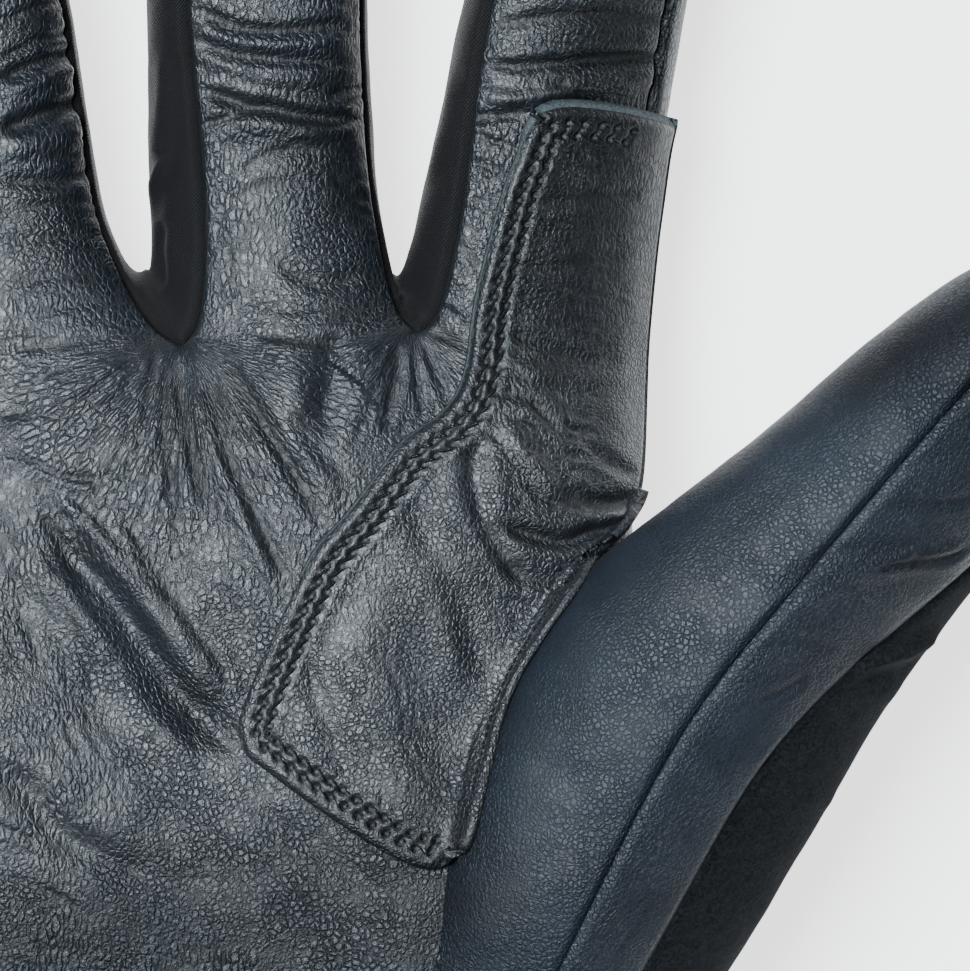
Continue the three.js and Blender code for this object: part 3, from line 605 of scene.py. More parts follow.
patchFolds = [
    {"line": [(482, 436), (474, 476), (488, 524)], "rise": -0.8, "wide": 11},
    {"line": [(500, 418), (538, 468), (562, 502)], "rise": 0.55, "wide": 10},
    {"line": [(528, 398), (544, 416), (564, 434)], "rise": -0.5, "wide": 5},
    {"line": [(494, 522), (560, 542), (602, 530), (640, 538)], "rise": -1.1, "wide": 7},
    {"line": [(556, 488), (600, 505), (648, 498)], "rise": -0.8, "wide": 7},
    {"line": [(590, 520), (620, 514), (648, 508)], "rise": 0.7, "wide": 9},
    {"line": [(500, 560), (540, 580), (590, 570)], "rise": -0.5, "wide": 7},
    {"line": [(520, 480), (548, 500), (590, 512)], "rise": -0.35, "wide": 4},
    {"line": [(470, 500), (500, 548), (530, 600)], "rise": -0.4, "wide": 8},
    {"line": [(400, 480), (440, 560), (470, 640), (490, 690)], "rise": -0.5, "wide": 14},
    {"line": [(345, 600), (370, 680), (400, 760), (420, 820)], "rise": 0.5, "wide": 26},
    {"line": [(300, 640), (320, 700), (350, 780)], "rise": -0.35, "wide": 10},
    {"line": [(430, 520), (450, 600), (455, 700)], "rise": 0.4, "wide": 16},
    {"line": [(510, 200), (590, 200), (655, 182)], "rise": -0.25, "wide": 6},
    {"line": [(500, 262), (560, 268), (640, 248)], "rise": -0.2, "wide": 6},
    {"line": [(500, 330), (560, 350), (600, 366)], "rise": -0.3, "wide": 5},
    {"line": [(500, 356), (540, 372), (600, 378), (640, 366)], "rise": 0.3, "wide": 8},
    {"line": [(480, 392), (520, 396), (570, 420)], "rise": -0.3, "wide": 5},
    {"line": [(588, 440), (610, 462), (640, 476)], "rise": -0.4, "wide": 6},
]
thumbFolds = [
    {"line": [(760, 600), (810, 560), (860, 545), (930, 548)], "rise": -0.35, "wide": 7},
    {"line": [(770, 620), (840, 580), (900, 560), (960, 548)], "rise": 0.35, "wide": 9},
    {"line": [(860, 570), (900, 562), (948, 556), (968, 540)], "rise": -0.6, "wide": 3.5},
    {"line": [(880, 470), (920, 460), (968, 448)], "rise": -0.3, "wide": 4},
    {"line": [(880, 500), (930, 504), (975, 498)], "rise": -0.4, "wide": 4},
    {"line": [(740, 650), (790, 640), (840, 650)], "rise": -0.25, "wide": 6},
    {"line": [(750, 700), (780, 690), (806, 672)], "rise": -0.3, "wide": 5},
    {"line": [(560, 600), (620, 700), (640, 800)], "rise": 0.3, "wide": 40},
    {"line": [(700, 540), (760, 500), (820, 430)], "rise": -0.25, "wide": 14},
    {"line": [(520, 760), (590, 770), (640, 760)], "rise": -0.2, "wide": 10},
]
backFolds = [
    {"line": [(856, 664), (900, 652), (948, 634)], "rise": 0.9, "wide": 6},
    {"line": [(850, 684), (892, 676), (930, 664)], "rise": -0.9, "wide": 8},
    {"line": [(846, 652), (880, 640), (905, 628)], "rise": -0.6, "wide": 6},
    {"line": [(800, 790), (830, 800), (850, 796)], "rise": 0.4, "wide": 9},
    {"line": [(720, 850), (760, 880), (800, 880)], "rise": -0.4, "wide": 14},
]
clothFolds = [
    {"line": [(172, 148), (150, 180), (144, 205), (138, 228)], "rise": 0.7, "wide": 5},
    {"line": [(158, 215), (154, 250), (158, 292)], "rise": -0.9, "wide": 7},
    {"line": [(160, 40), (160, 100), (152, 180)], "rise": 0.5, "wide": 9},
    {"line": [(452, 60), (445, 120), (425, 190)], "rise": 0.4, "wide": 8},
    {"line": [(392, 298), (402, 304), (416, 318)], "rise": -0.9, "wide": 4},
]


def curveThrough(points, steps):
    curve = []
    for i in range(len(points) - 1):
        before, a, b, after = (np.array(points[j], float)
                               for j in (max(0, i - 1), i, i + 1, min(len(points) - 1, i + 2)))
        for step in range(steps):
            t = step / steps
            curve.append(0.5 * (2 * a + (b - before) * t + (2 * before - 5 * a + 4 * b - after) * t ** 2
                                + (3 * a - before - 3 * b + after) * t ** 3))
    curve.append(np.array(points[-1], float))
    return curve


# How far each place is from the curve, and what share of the way along it the nearest point is.
def nearCurve(places, curve):
    nearest = np.full(len(places), 1e9)
    along = np.zeros(len(places))
    total = sum(np.linalg.norm(b - a) for a, b in zip(curve, curve[1:]))
    passed = 0
    for a, b in zip(curve, curve[1:]):
        run = b - a
        length = np.linalg.norm(run)
        t = np.clip((places - a) @ run / (length * length), 0, 1)
        distance = np.linalg.norm(places - a - t[:, None] * run, axis=1)
        closer = distance < nearest
        nearest[closer] = distance[closer]
        along[closer] = (passed + t[closer] * length) / total
        passed += length
    return nearest, along


def foldField(places, folds, strength=1):
    rise = np.zeros(len(places))
    foldShade = np.zeros(len(places))
    for fold in folds:
        curve = curveThrough(fold["line"], 4)
        low = np.min(curve, axis=0) - fold["wide"] * 5
        high = np.max(curve, axis=0) + fold["wide"] * 5
        chosen = np.flatnonzero(np.all((places > low) & (places < high), axis=1))
        if not len(chosen):
            continue
        distance, along = nearCurve(places[chosen], curve)
        fade = np.clip(np.minimum(along, 1 - along) / 0.22, 0, 1)
        fade = fade * fade * (3 - 2 * fade)
        wide = fold["wide"] * (0.55 + 0.45 * fade)
        core = np.exp(-(distance / wide) ** 2)
        shoulder = np.exp(-((distance - 2.1 * wide) / (1.2 * wide)) ** 2)
        rise[chosen] += strength * fold["rise"] * fade * (core - 0.32 * shoulder)
        # Narrow grooves also give a painted shade mask, darker at their core.
        if fold["rise"] < 0 and fold["wide"] < 9:
            foldShade[chosen] = np.maximum(foldShade[chosen], min(1, -fold["rise"] * 1.3) * fade * np.exp(
                -(distance / (0.6 * wide)) ** 2))
    return rise, foldShade


# Fine wrinkles that spread from a place. Angles are in degrees, 0 to the right and 90 downwards.
def fanFolds(centre, angles, reach, count, rise, wide):
    folds = []
    for i in range(count):
        angle = math.radians(mix(angles[0], angles[1], (i + random.uniform(0.1, 0.9)) / count))
        bend = random.uniform(-0.16, 0.16)
        start, end = reach[0] * random.uniform(0.6, 2.2), reach[1] * random.uniform(0.35, 1)
        line = []
        for share in (0, 0.33, 0.67, 1):
            radius = mix(start, end, share)
            turn = angle + bend * share + random.uniform(-0.02, 0.02)
            line.append((centre[0] + radius * math.cos(turn), centre[1] + radius * math.sin(turn)))
        folds.append({"line": line, "rise": -rise * random.uniform(0.4, 1), "wide": wide * random.uniform(0.7, 1.3)})
    return folds


# Short wrinkles that cross a seam, or run over a patch of leather, at an angle in degrees.
def scatteredFolds(path, aside, angle, length, count, rise, wide):
    curve = curveThrough(path, 6)
    folds = []
    for i in range(count):
        place = curve[random.randrange(len(curve))] + np.array([random.uniform(*aside), random.uniform(-6, 6)])
        turn = math.radians(angle + random.uniform(-22, 22))
        run = np.array([math.cos(turn), math.sin(turn)]) * random.uniform(0.5, 1) * length / 2
        bow = np.array([-run[1], run[0]]) * random.uniform(-0.25, 0.25)
        folds.append({"line": [tuple(place - run), tuple(place + bow), tuple(place + run)],
                      "rise": -rise * random.uniform(0.4, 1), "wide": wide * random.uniform(0.7, 1.3)})
    return folds


middleLeft = [(180, 0), (190, 100), (200, 180), (210, 250), (205, 310)]
middleRight = [(362, 0), (368, 120), (376, 240)]
indexLeft = [(480, 0), (470, 100), (460, 170), (455, 230), (445, 290)]
middleFolds += scatteredFolds(middleLeft, (4, 24), -18, 34, 26, 0.24, 2.6)
middleFolds += scatteredFolds(middleRight, (-24, -4), -12, 30, 16, 0.2, 2.6)
middleFolds += scatteredFolds([(230, 20), (290, 130), (300, 200)], (-40, 50), -8, 44, 30, 0.16, 2.4)
ringFolds += scatteredFolds([(80, 0), (98, 130), (130, 240)], (-36, -8), -20, 36, 22, 0.22, 2.8)
ringFolds += scatteredFolds([(20, 20), (40, 150), (60, 260)], (-24, 30), -14, 40, 20, 0.16, 2.6)
indexFolds += scatteredFolds(indexLeft, (6, 34), 24, 34, 30, 0.22, 2.6)
indexFolds += scatteredFolds([(500, 60), (560, 84), (660, 78)], (-8, 8), 2, 40, 26, 0.18, 2.4)
palmFolds += fanFolds((186, 338), (48, 128), (30, 250), 34, 0.3, 4)
palmFolds += fanFolds((186, 338), (128, 178), (30, 200), 12, 0.2, 4)
palmFolds += fanFolds((414, 326), (62, 150), (24, 150), 16, 0.24, 3.6)
palmFolds += fanFolds((-30, 440), (12, 78), (60, 330), 20, 0.24, 4.5)
palmFolds += scatteredFolds([(90, 480), (180, 600), (250, 720)], (-50, 60), 56, 70, 46, 0.24, 3.4)
palmFolds += scatteredFolds([(10, 560), (40, 650), (70, 760)], (-30, 50), 66, 46, 22, 0.18, 3)
palmFolds += scatteredFolds([(60, 860), (200, 880), (380, 930)], (-40, 50), 28, 50, 20, 0.12, 3)
patchFolds += scatteredFolds([(560, 190), (580, 260), (560, 340)], (-50, 70), 4, 36, 60, 0.13, 2.2)
patchFolds += scatteredFolds([(520, 420), (540, 480), (560, 540)], (-50, 70), 24, 40, 50, 0.2, 3)
patchFolds += scatteredFolds([(350, 640), (400, 720), (430, 800)], (-70, 50), 74, 50, 44, 0.13, 2.6)
thumbFolds += scatteredFolds([(790, 600), (860, 560), (930, 540)], (-20, 30), -18, 40, 26, 0.2, 2.6)
thumbFolds += scatteredFolds([(920, 440), (950, 470), (960, 500)], (-30, 30), -14, 34, 16, 0.16, 2.4)
thumbFolds += scatteredFolds([(576, 880), (590, 910), (600, 940)], (4, 30), -40, 26, 12, 0.2, 2.4)


# The wear patch. Its four edges are drawn through places of the photograph, and end where its
# corners are roundest.
patchSizes = {"rows": 250, "columns": 88, "wall": 1.0, "lift": 1.2, "edgeSink": 0.5, "edgeWidth": 0.42,
              "relax": 40, "fall": 0.42}
patchEdges = {
    "top": [(535, 119), (541, 112), (552, 107.5), (566, 105.5), (585, 106), (620, 110), (650, 116), (676, 121)],
    "left": [(535, 119), (526, 134), (517, 157), (505, 188), (492.5, 233), (481, 277.5), (473, 319),
             (468, 362), (457, 395.5), (438, 418), (419, 431), (399, 447), (377, 477), (349, 513), (318, 548),
             (294, 592), (274, 635), (254.5, 679), (241.5, 714), (239, 731), (243, 746)],
    "bottom": [(243, 746), (252, 758), (266, 768), (299, 793.7), (338.7, 821.5), (382, 849), (408, 862),
               (430, 868), (448, 864), (463, 852)],
    "right": [(676, 121), (670, 150), (664, 195), (658, 240), (652, 300), (648, 350), (646, 410), (644, 468),
              (638, 502), (622, 532), (600, 560), (580, 592), (556, 624), (536, 654), (520, 682), (508, 712),
              (497, 752), (486, 798), (476, 834), (463, 852)],
}


def evenly(points, count):
    curve = np.array(curveThrough(points, 8))
    steps = np.concatenate(([0], np.cumsum(np.linalg.norm(np.diff(curve, axis=0), axis=1))))
    wanted = np.linspace(0, steps[-1], count)
    return np.stack([np.interp(wanted, steps, curve[:, i]) for i in (0, 1)], axis=1)


def inset(points, distance, count):
    curve = evenly(points, count)
    run = np.gradient(curve, axis=0)
    run /= np.linalg.norm(run, axis=1)[:, None]
    return curve + np.stack([-run[:, 1], run[:, 0]], axis=1) * distance


def heightAt(px, py):
    x, y = fromPhoto(px, py)
    heights = [tree.ray_cast(Vector((x, y, 200)), Vector((0, 0, -1)))[0] for tree in (handTree, thumbTree)]
    return max([hit.z for hit in heights if hit] + [-1])


def insideOf(places, outline):
    inside = np.zeros(len(places), bool)
    for a, b in zip(outline, np.roll(outline, -1, axis=0)):
        crosses = (a[1] > places[:, 1]) != (b[1] > places[:, 1])
        slope = (b[0] - a[0]) / (b[1] - a[1]) if b[1] != a[1] else 0
        inside ^= crosses & (places[:, 0] < a[0] + slope * (places[:, 1] - a[1]))
    return inside


def patchGrid():
    rows, columns = patchSizes["rows"], patchSizes["columns"]
    top, bottom = evenly(patchEdges["top"], columns), evenly(patchEdges["bottom"], columns)
    left, right = evenly(patchEdges["left"], rows), evenly(patchEdges["right"], rows)
    u, v = np.linspace(0, 1, columns)[None, :, None], np.linspace(0, 1, rows)[:, None, None]
    corners = ((1 - u) * (1 - v) * top[0] + u * (1 - v) * top[-1] + (1 - u) * v * bottom[0] + u * v * bottom[-1])
    return (1 - v) * top[None] + v * bottom[None] + (1 - u) * left[:, None] + u * right[:, None] - corners


# The heights under the patch. It falls steeply where it passes the outside of the finger.
def patchHeights(grid):
    heights = np.array([[heightAt(*place) for place in row] for row in grid])
    for r, row in enumerate(grid):
        for c in range(1, len(row)):
            if row[c][0] > 600 and row[c][1] < 545:
                heights[r, c] = max(heights[r, c], heights[r, c - 1] - patchSizes["fall"])
    for step in range(patchSizes["relax"]):
        padded = np.pad(heights, 1, mode="edge")
        around = (padded[:-2, 1:-1] + padded[2:, 1:-1] + padded[1:-1, :-2] + padded[1:-1, 2:]) / 4
        heights = (heights + around) / 2
    return heights


patchOutline = np.concatenate([evenly(patchEdges["left"], 120), evenly(patchEdges["bottom"], 60)[1:],
                               evenly(patchEdges["right"], 120)[::-1][1:], evenly(patchEdges["top"], 40)[::-1][1:-1]])
seamPath = np.concatenate([evenly(patchEdges["top"][::-1], 60), evenly(patchEdges["left"], 260)[1:],
                           evenly(patchEdges["bottom"], 110)[1:]])


# A row of stitches that keeps its distance from the patch's edge, also round the corners.
def seamRow(distance):
    run = np.gradient(seamPath, axis=0)
    run /= np.linalg.norm(run, axis=1)[:, None]
    row = seamPath + np.stack([-run[:, 1], run[:, 0]], axis=1) * distance
    away = nearCurve(row, list(seamPath))[0]
    row = row[away > abs(distance) * 0.985]
    for step in range(6):
        row[1:-1] = (row[:-2] + 2 * row[1:-1] + row[2:]) / 4
    return row


# Places at even steps along a row of stitches, each with the way the row runs there.
def stitchPlaces(row, pitch, offset):
    steps = np.concatenate(([0], np.cumsum(np.linalg.norm(np.diff(row, axis=0), axis=1))))
    wanted = np.arange(offset * pitch, steps[-1], pitch)
    places = np.stack([np.interp(wanted, steps, row[:, i]) for i in (0, 1)], axis=1)
    ahead = np.stack([np.interp(wanted + 2, steps, row[:, i]) for i in (0, 1)], axis=1)
    behind = np.stack([np.interp(wanted - 2, steps, row[:, i]) for i in (0, 1)], axis=1)
    run = ahead - behind
    return places, run / np.linalg.norm(run, axis=1)[:, None]


# A shader value. Sums of these make Math nodes.
class Wire:
    def __init__(self, tree, socket=None):
        self.tree, self.socket = tree, socket

    def node(self, kind, settings=None, values=None, output=0):
        made = self.tree.nodes.new("ShaderNode" + kind)
        for key, value in (settings or {}).items():
            setattr(made, key, value)
        for key, value in (values or {}).items():
            if isinstance(value, Wire):
                self.tree.links.new(value.socket, made.inputs[key])
            else:
                made.inputs[key].default_value = value
        return Wire(self.tree, made.outputs[output])

    def math(self, operation, *values, clamp=False):
        return self.node("Math", {"operation": operation, "use_clamp": clamp}, dict(enumerate(values)))

    def __add__(self, other):
        return self.math("ADD", self, other)

    def __radd__(self, other):
        return self.math("ADD", other, self)

    def __sub__(self, other):
        return self.math("SUBTRACT", self, other)

    def __rsub__(self, other):
        return self.math("SUBTRACT", other, self)

    def __mul__(self, other):
        return self.math("MULTIPLY", self, other)

    def __rmul__(self, other):
        return self.math("MULTIPLY", other, self)

    def __truediv__(self, other):
        return self.math("DIVIDE", self, other)

    def ramp(self, low, high):
        return self.node("MapRange", {"interpolation_type": "SMOOTHSTEP"}, {0: self, 1: low, 2: high})

    def scaled(self, factor):
        return self.node("VectorMath", {"operation": "MULTIPLY"}, {0: self, 1: factor})

    def moved(self, other):
        return self.node("VectorMath", {"operation": "ADD"}, {0: self, 1: other})

    def noise(self, scale, detail=2, roughness=0.5, output="Fac"):
        return self.node("TexNoise", {}, {"Vector": self, "Scale": scale, "Detail": detail, "Roughness": roughness},
                         output)

    def cells(self, scale, feature="DISTANCE_TO_EDGE", output="Distance"):
        return self.node("TexVoronoi", {"feature": feature}, {"Vector": self, "Scale": scale}, output)

    def colours(self, low, high):
        return self.node("Mix", {"data_type": "RGBA"}, {0: self, 6: (*low, 1) if isinstance(low, tuple) else low,
                                                        7: (*high, 1) if isinstance(high, tuple) else high}, 2)


def startMaterial(name):
    material = bpy.data.materials.new(name)
    material.use_nodes = True
    material.node_tree.nodes.clear()
    wire = Wire(material.node_tree)
    place = wire.node("TexCoord", {}, {}, "Object").scaled((1000, 1000, 1000))
    return material, wire, place


def endMaterial(wire, values):
    surface = wire.node("BsdfPrincipled", {}, values)
    output = wire.tree.nodes.new("ShaderNodeOutputMaterial")
    wire.tree.links.new(surface.socket, output.inputs["Surface"])


def bump(wire, height, distance, strength=1):
    return wire.node("Bump", {}, {"Height": height, "Distance": distance * mm, "Strength": strength})


leatherLook = {
    "palm": {"low": (0.0008, 0.002, 0.0037), "high": (0.0052, 0.0106, 0.0176), "pebble": 1.35, "depth": 0.1,
             "rough": 0.36, "pull": 1, "shine": 0.8},
    "patch": {"low": (0.0008, 0.0019, 0.0035), "high": (0.0048, 0.0098, 0.0162), "pebble": 1.5, "depth": 0.085,
              "rough": 0.36, "pull": 0.6, "shine": 0.85},
    "thumb": {"low": (0.001, 0.003, 0.0062), "high": (0.0048, 0.0122, 0.0225), "pebble": 1.65, "depth": 0.065,
              "rough": 0.46, "pull": 0.3, "shine": 0.45},
}


# Pebbled leather. The pull attribute says where its pebbles are drawn out, along the grain attribute
# near the fingers and slanting over the palm elsewhere.
def leather(name, look):
    material, wire, place = startMaterial(name)
    creaseShade = wire.node("Attribute", {"attribute_name": "creaseShade"}, {}, "Fac")
    pull = wire.node("Attribute", {"attribute_name": "pull"}, {}, "Fac")
    turnedAwayShade = wire.node("Attribute", {"attribute_name": "turnedAwayShade"}, {}, "Fac")
    drift = place.noise(0.6, 3, 0.6, "Color").scaled((0.8, 0.8, 0.8))
    spot = place.moved(drift)
    slanting = wire.node("Mapping", {}, {"Vector": spot, "Rotation": (0, 0, math.radians(-34)),
                                         "Scale": (1, 0.42, 1)})
    fanned = wire.node("Attribute", {"attribute_name": "grain"}, {}, "Vector").moved(drift)
    rounded = spot.cells(look["pebble"])
    drawn = slanting.cells(look["pebble"]) * (1 - pull) + fanned.cells(look["pebble"]) * pull
    where = wire.node("Clamp", {}, {0: place.noise(0.05, 2).ramp(0.36, 0.6) * look["pull"] + pull})
    edge = rounded * (1 - where) + drawn * where
    pebble = edge.ramp(0, 0.22)
    fine = spot.cells(look["pebble"] * 2.5).ramp(0, 0.3)
    grain = place.noise(7, 3, 0.65)
    calm = wire.node("Attribute", {"attribute_name": "calm"}, {}, "Fac")
    depth = (place.noise(0.16, 3).ramp(0.3, 0.66) * 0.75 + 0.25) * (1 - calm * 0.75)
    height = pebble * depth + fine * 0.2 + edge * 0.5 + grain * 0.16
    tone = place.noise(0.07, 4, 0.62).ramp(0.28, 0.72)
    # Base colour: lighter on pebble tops and darker in the cracks between them (painted shade), random tone, and
    # painted shade in creases, seams and stitch holes and on the turned-away index finger and heel.
    level = wire.node("Clamp", {}, {0: pebble * 0.45 * depth + fine * 0.14 + tone * 0.45 - creaseShade * 0.75 - turnedAwayShade * 0.3})
    base = level.colours(look["low"], look["high"])
    worn = wire.node("Clamp", {}, {0: pebble - creaseShade})
    rough = look["rough"] + (1 - worn) * 0.17 + tone * 0.06 + creaseShade * 0.1 + turnedAwayShade * 0.03
    endMaterial(wire, {"Base Color": base, "Roughness": rough, "Specular IOR Level": look["shine"],
                       "Metallic": turnedAwayShade * 0.5, "Normal": bump(wire, height, look["depth"])})
    return material


def cutEdge(name):
    material, wire, place = startMaterial(name)
    fibre = place.noise(3.2, 4, 0.7)
    base = fibre.ramp(0.3, 0.7).colours((0.02, 0.03, 0.035), (0.085, 0.11, 0.12))
    endMaterial(wire, {"Base Color": base, "Roughness": 0.85, "Normal": bump(wire, fibre, 0.2)})
    return material


def stretchCloth(name):
    material, wire, place = startMaterial(name)
    slant = wire.node("Mapping", {}, {"Vector": place, "Rotation": (0, 0, math.radians(38))})
    rib = slant.node("TexWave", {"bands_direction": "X"}, {"Vector": slant, "Scale": 1.15, "Distortion": 1.2,
                                                           "Detail": 2, "Detail Scale": 2}, "Fac")
    cross = slant.node("TexWave", {"bands_direction": "Y"}, {"Vector": slant, "Scale": 1.35, "Distortion": 1.0,
                                                             "Detail": 2, "Detail Scale": 2}, "Fac")
    knit = rib * cross
    fleck = place.noise(5, 3, 0.7)
    creaseShade = wire.node("Attribute", {"attribute_name": "creaseShade"}, {}, "Fac")
    # Weave and flecks, with painted shade darkening the cloth along its creases and seams.
    level = wire.node("Clamp", {}, {0: knit * 0.5 + fleck * 0.6 - creaseShade * 0.5})
    base = level.colours((0.0006, 0.0006, 0.0009), (0.0034, 0.0032, 0.0044))
    endMaterial(wire, {"Base Color": base, "Roughness": 0.62, "Specular IOR Level": 0.3, "Sheen Weight": 0.03, "Sheen Roughness": 0.4,
                       "Sheen Tint": (0.55, 0.52, 0.6, 1), "Normal": bump(wire, knit + fleck * 0.4, 0.12)})
    return material


def fleece(name):
    material, wire, place = startMaterial(name)
    drift = place.noise(0.8, 2, 0.5, "Color").scaled((1.5, 1.5, 1.5))
    spot = place.moved(drift)
    nap = spot.noise(2.3, 5, 0.72)
    tuft = spot.noise(0.75, 3, 0.6)
    patchy = place.noise(0.08, 3)
    level = wire.node("Clamp", {}, {0: nap.ramp(0.38, 0.66) * 0.6 + tuft * 0.5 + patchy * 0.4 - 0.35})
    base = level.colours((0.0012, 0.0016, 0.002), (0.025, 0.029, 0.034))
    endMaterial(wire, {"Base Color": base, "Roughness": 0.95, "Specular IOR Level": 0.08, "Sheen Weight": 0.03,
                       "Sheen Roughness": 0.5, "Sheen Tint": (0.7, 0.75, 0.85, 1),
                       "Normal": bump(wire, nap * 0.8 + tuft * 0.6, 0.9)})
    return material


def threadLook(name, low, high):
    material, wire, place = startMaterial(name)
    ply = place.node("TexWave", {"bands_direction": "DIAGONAL"}, {"Vector": place, "Scale": 1.6}, "Fac")
    base = ply.colours(low, high)
    endMaterial(wire, {"Base Color": base, "Roughness": 0.38, "Normal": bump(wire, ply, 0.12)})
    return material


palmHide = leather("palm leather", leatherLook["palm"])
patchHide = leather("patch leather", leatherLook["patch"])
thumbHide = leather("thumb leather", leatherLook["thumb"])
rawEdge = cutEdge("raw edge")
knitCloth = stretchCloth("stretch cloth")
fleeceCloth = fleece("fleece")
thread = threadLook("thread", (0.0008, 0.0011, 0.0016), (0.006, 0.0075, 0.01))
# Pale thread: its lightness is a painted highlight for the glints on the thumb seam's stitches.
glintPaleThread = threadLook("thumb thread", (0.03, 0.04, 0.05), (0.12, 0.14, 0.16))


pitch = 16.5
outerRow, innerRow = seamRow(-17), seamRow(-30)
outerPlaces, outerRuns = stitchPlaces(outerRow, pitch, 0.4)
rightCurve = list(evenly(patchEdges["right"], 120))
fromRight = nearCurve(outerPlaces, rightCurve)[0]
outerPlaces, outerRuns = outerPlaces[fromRight > 24], outerRuns[fromRight > 24]
doubleRows = []
for place, run in zip(outerPlaces, outerRuns):
    across = innerRow[np.argmin(np.linalg.norm(innerRow - place, axis=1))]
    doubleRows.append({"outer": place, "inner": across + run * pitch * 0.35, "run": run, "small": place[1] < 150})
stitchFolds = []
for pair in doubleRows:
    depth = 0.42 if pair["small"] else 0.68
    toInner = pair["inner"] - pair["outer"]
    for row in ("outer", "inner"):
        stitchFolds.append({"line": [pair[row] - pair["run"] * 3, pair[row], pair[row] + pair["run"] * 3],
                            "rise": -depth, "wide": 3.4})
    stitchFolds.append({"line": [pair["outer"] - toInner * 0.3, pair["outer"], pair["inner"],
                                 pair["inner"] + toInner * 0.3], "rise": -depth * 0.45, "wide": 3})
rightSeam = inset(patchEdges["right"], 15, 400)[236:384]
stitchFolds.append({"line": [tuple(place) for place in rightSeam[::10]], "rise": -0.5, "wide": 3.6})
for distance, rise, wide in ((-23.5, 0.25, 5), (-6, 0.18, 6), (-38, 0.15, 6)):
    row = seamRow(distance)
    stitchFolds.append({"line": [tuple(place) for place in row[::6]], "rise": rise, "wide": wide})
for row in (outerRow, innerRow):
    stitchFolds.append({"line": [tuple(place) for place in row[::6]], "rise": -0.1, "wide": 3})


def buildPatch():
    sizes = patchSizes
    grid = patchGrid()
    heights = patchHeights(grid)
    rows, columns = sizes["rows"], sizes["columns"]
    piece = bmesh.new()
    bmesh.ops.create_grid(piece, x_segments=columns - 1, y_segments=rows - 1, size=0.5)
    spots = {}
    for vert in piece.verts:
        spot = round((0.5 - vert.co.y) * (rows - 1)), round((vert.co.x + 0.5) * (columns - 1))
        x, y = fromPhoto(*grid[spot])
        vert.co = (x, y, heights[spot])
        spots[vert] = spot
    piece.normal_update()
    lifted = [(vert, vert.co + vert.normal * sizes["lift"]) for vert in piece.verts]
    for vert, place in lifted:
        vert.co = place
    piece.normal_update()
    giveWall(piece, sizes["wall"])
    return piece


# Leather near the roots of two fingers is drawn out away from the place where they part. The grain is
# that place's angle and distance, in millimetres, and the pull says how much it counts.
fans = [
    {"centre": (184, 336), "reach": 300, "turn": 19, "strength": 1.0},
    {"centre": (414, 322), "reach": 150, "turn": 11, "strength": 0.8},
]


def fannedGrain(place):
    best, found = 0, Vector((place[0] / view["pixelsPerMm"], place[1] / view["pixelsPerMm"], 0))
    for fan in fans:
        run = Vector(place) - Vector(fan["centre"])
        weight = fan["strength"] * (1 - smoothstep(run.length, 0.45 * fan["reach"], fan["reach"]))
        weight *= smoothstep(run.y / max(1, run.length), -0.1, 0.35)
        if weight > best:
            angle = math.atan2(run.y, run.x)
            best, found = weight, Vector((angle * fan["turn"], run.length / view["pixelsPerMm"] * 0.42, 0))
    return found, best


# Painted shade on the index finger and the heel of the palm, where the leather turns away from the light: it darkens
# the base colour, dims the sheen through Metallic and adds a little roughness.
def turnedAwayShading(px, py):
    finger = smoothstep(px + (py - 300) * 0.2, 470, 540) * (1 - smoothstep(py, 330, 470))
    heel = smoothstep(py + px * 0.25, 820, 960) * (1 - smoothstep(px, 400, 560))
    return max(finger, heel * 0.85)


def carve(piece, seams, folds, groove, relief, under=None):
    layer = piece.faces.layers.int["outer"]
    creaseShade = piece.verts.layers.float.new("creaseShade")
    pull = piece.verts.layers.float.new("pull")
    grain = piece.verts.layers.float_vector.new("grain")
    calm = piece.verts.layers.float.new("calm")
    turnedAwayShade = piece.verts.layers.float.new("turnedAwayShade")
    calmness = np.zeros(len(piece.verts))
    verts = [vert for vert in piece.verts if any(face[layer] for face in vert.link_faces)]
    piece.normal_update()
    normals = [sum((face.normal * face.calc_area() for face in vert.link_faces if face[layer]),
                   Vector()).normalized() for vert in verts]
    places = np.array([toPhoto(vert.co.x, vert.co.y) for vert in verts])
    if relief.get("calm"):
        fromEdge = nearCurve(places, list(seamPath))[0]
        calmness = np.clip((fromEdge - 5) / 4, 0, 1) * np.clip((42 - fromEdge) / 10, 0, 1)
    facing = np.clip((np.array([normal.z for normal in normals]) - 0.02) / 0.25, 0, 1)
    rise, foldShade = foldField(places, folds, relief["folds"])
    # Only the part in view has the fine faces that folds need.
    outside = np.max([-places[:, 0], places[:, 0] - 970, -places[:, 1], places[:, 1] - 971], axis=0)
    facing = facing * np.clip(1 - outside / 22, 0, 1)
    covered = np.zeros(len(verts))
    if under is not None:
        near = np.flatnonzero(insideOf(places, under))
        distance = nearCurve(places[near], [np.array(p) for p in np.concatenate([under, under[:1]])])[0]
        covered[near] = np.clip((distance - 5) / 10, 0, 1)
    rise = rise * facing * (1 - covered) - 1.1 * covered * (facing > 0)
    foldShade = foldShade * facing
    for i, vert in enumerate(verts):
        distance = seams(vert.co) if seams else 9
        sink = groove["deep"] * math.exp(-((distance / groove["wide"]) ** 2))
        soft = min(1, distance / 1.2)
        lump = noise.noise(vert.co / 11) * relief["broad"] + noise.noise(vert.co / 4.2) * relief["middle"]
        lump += noise.noise(vert.co / 1.7) * relief["fine"]
        vert.co += normals[i] * ((rise[i] + lump * (1 - covered[i])) * soft - sink)
        # Painted shade: darker colour along the seam grooves and patch edges, and in the narrow folds and stitch
        # holes.
        vert[creaseShade] = max(foldShade[i], 0.9 * math.exp(-((distance / (0.5 * groove["wide"])) ** 2)))
        vert[grain], vert[pull] = fannedGrain(places[i])
        vert[calm] = calmness[i]
        vert[turnedAwayShade] = turnedAwayShading(*places[i])


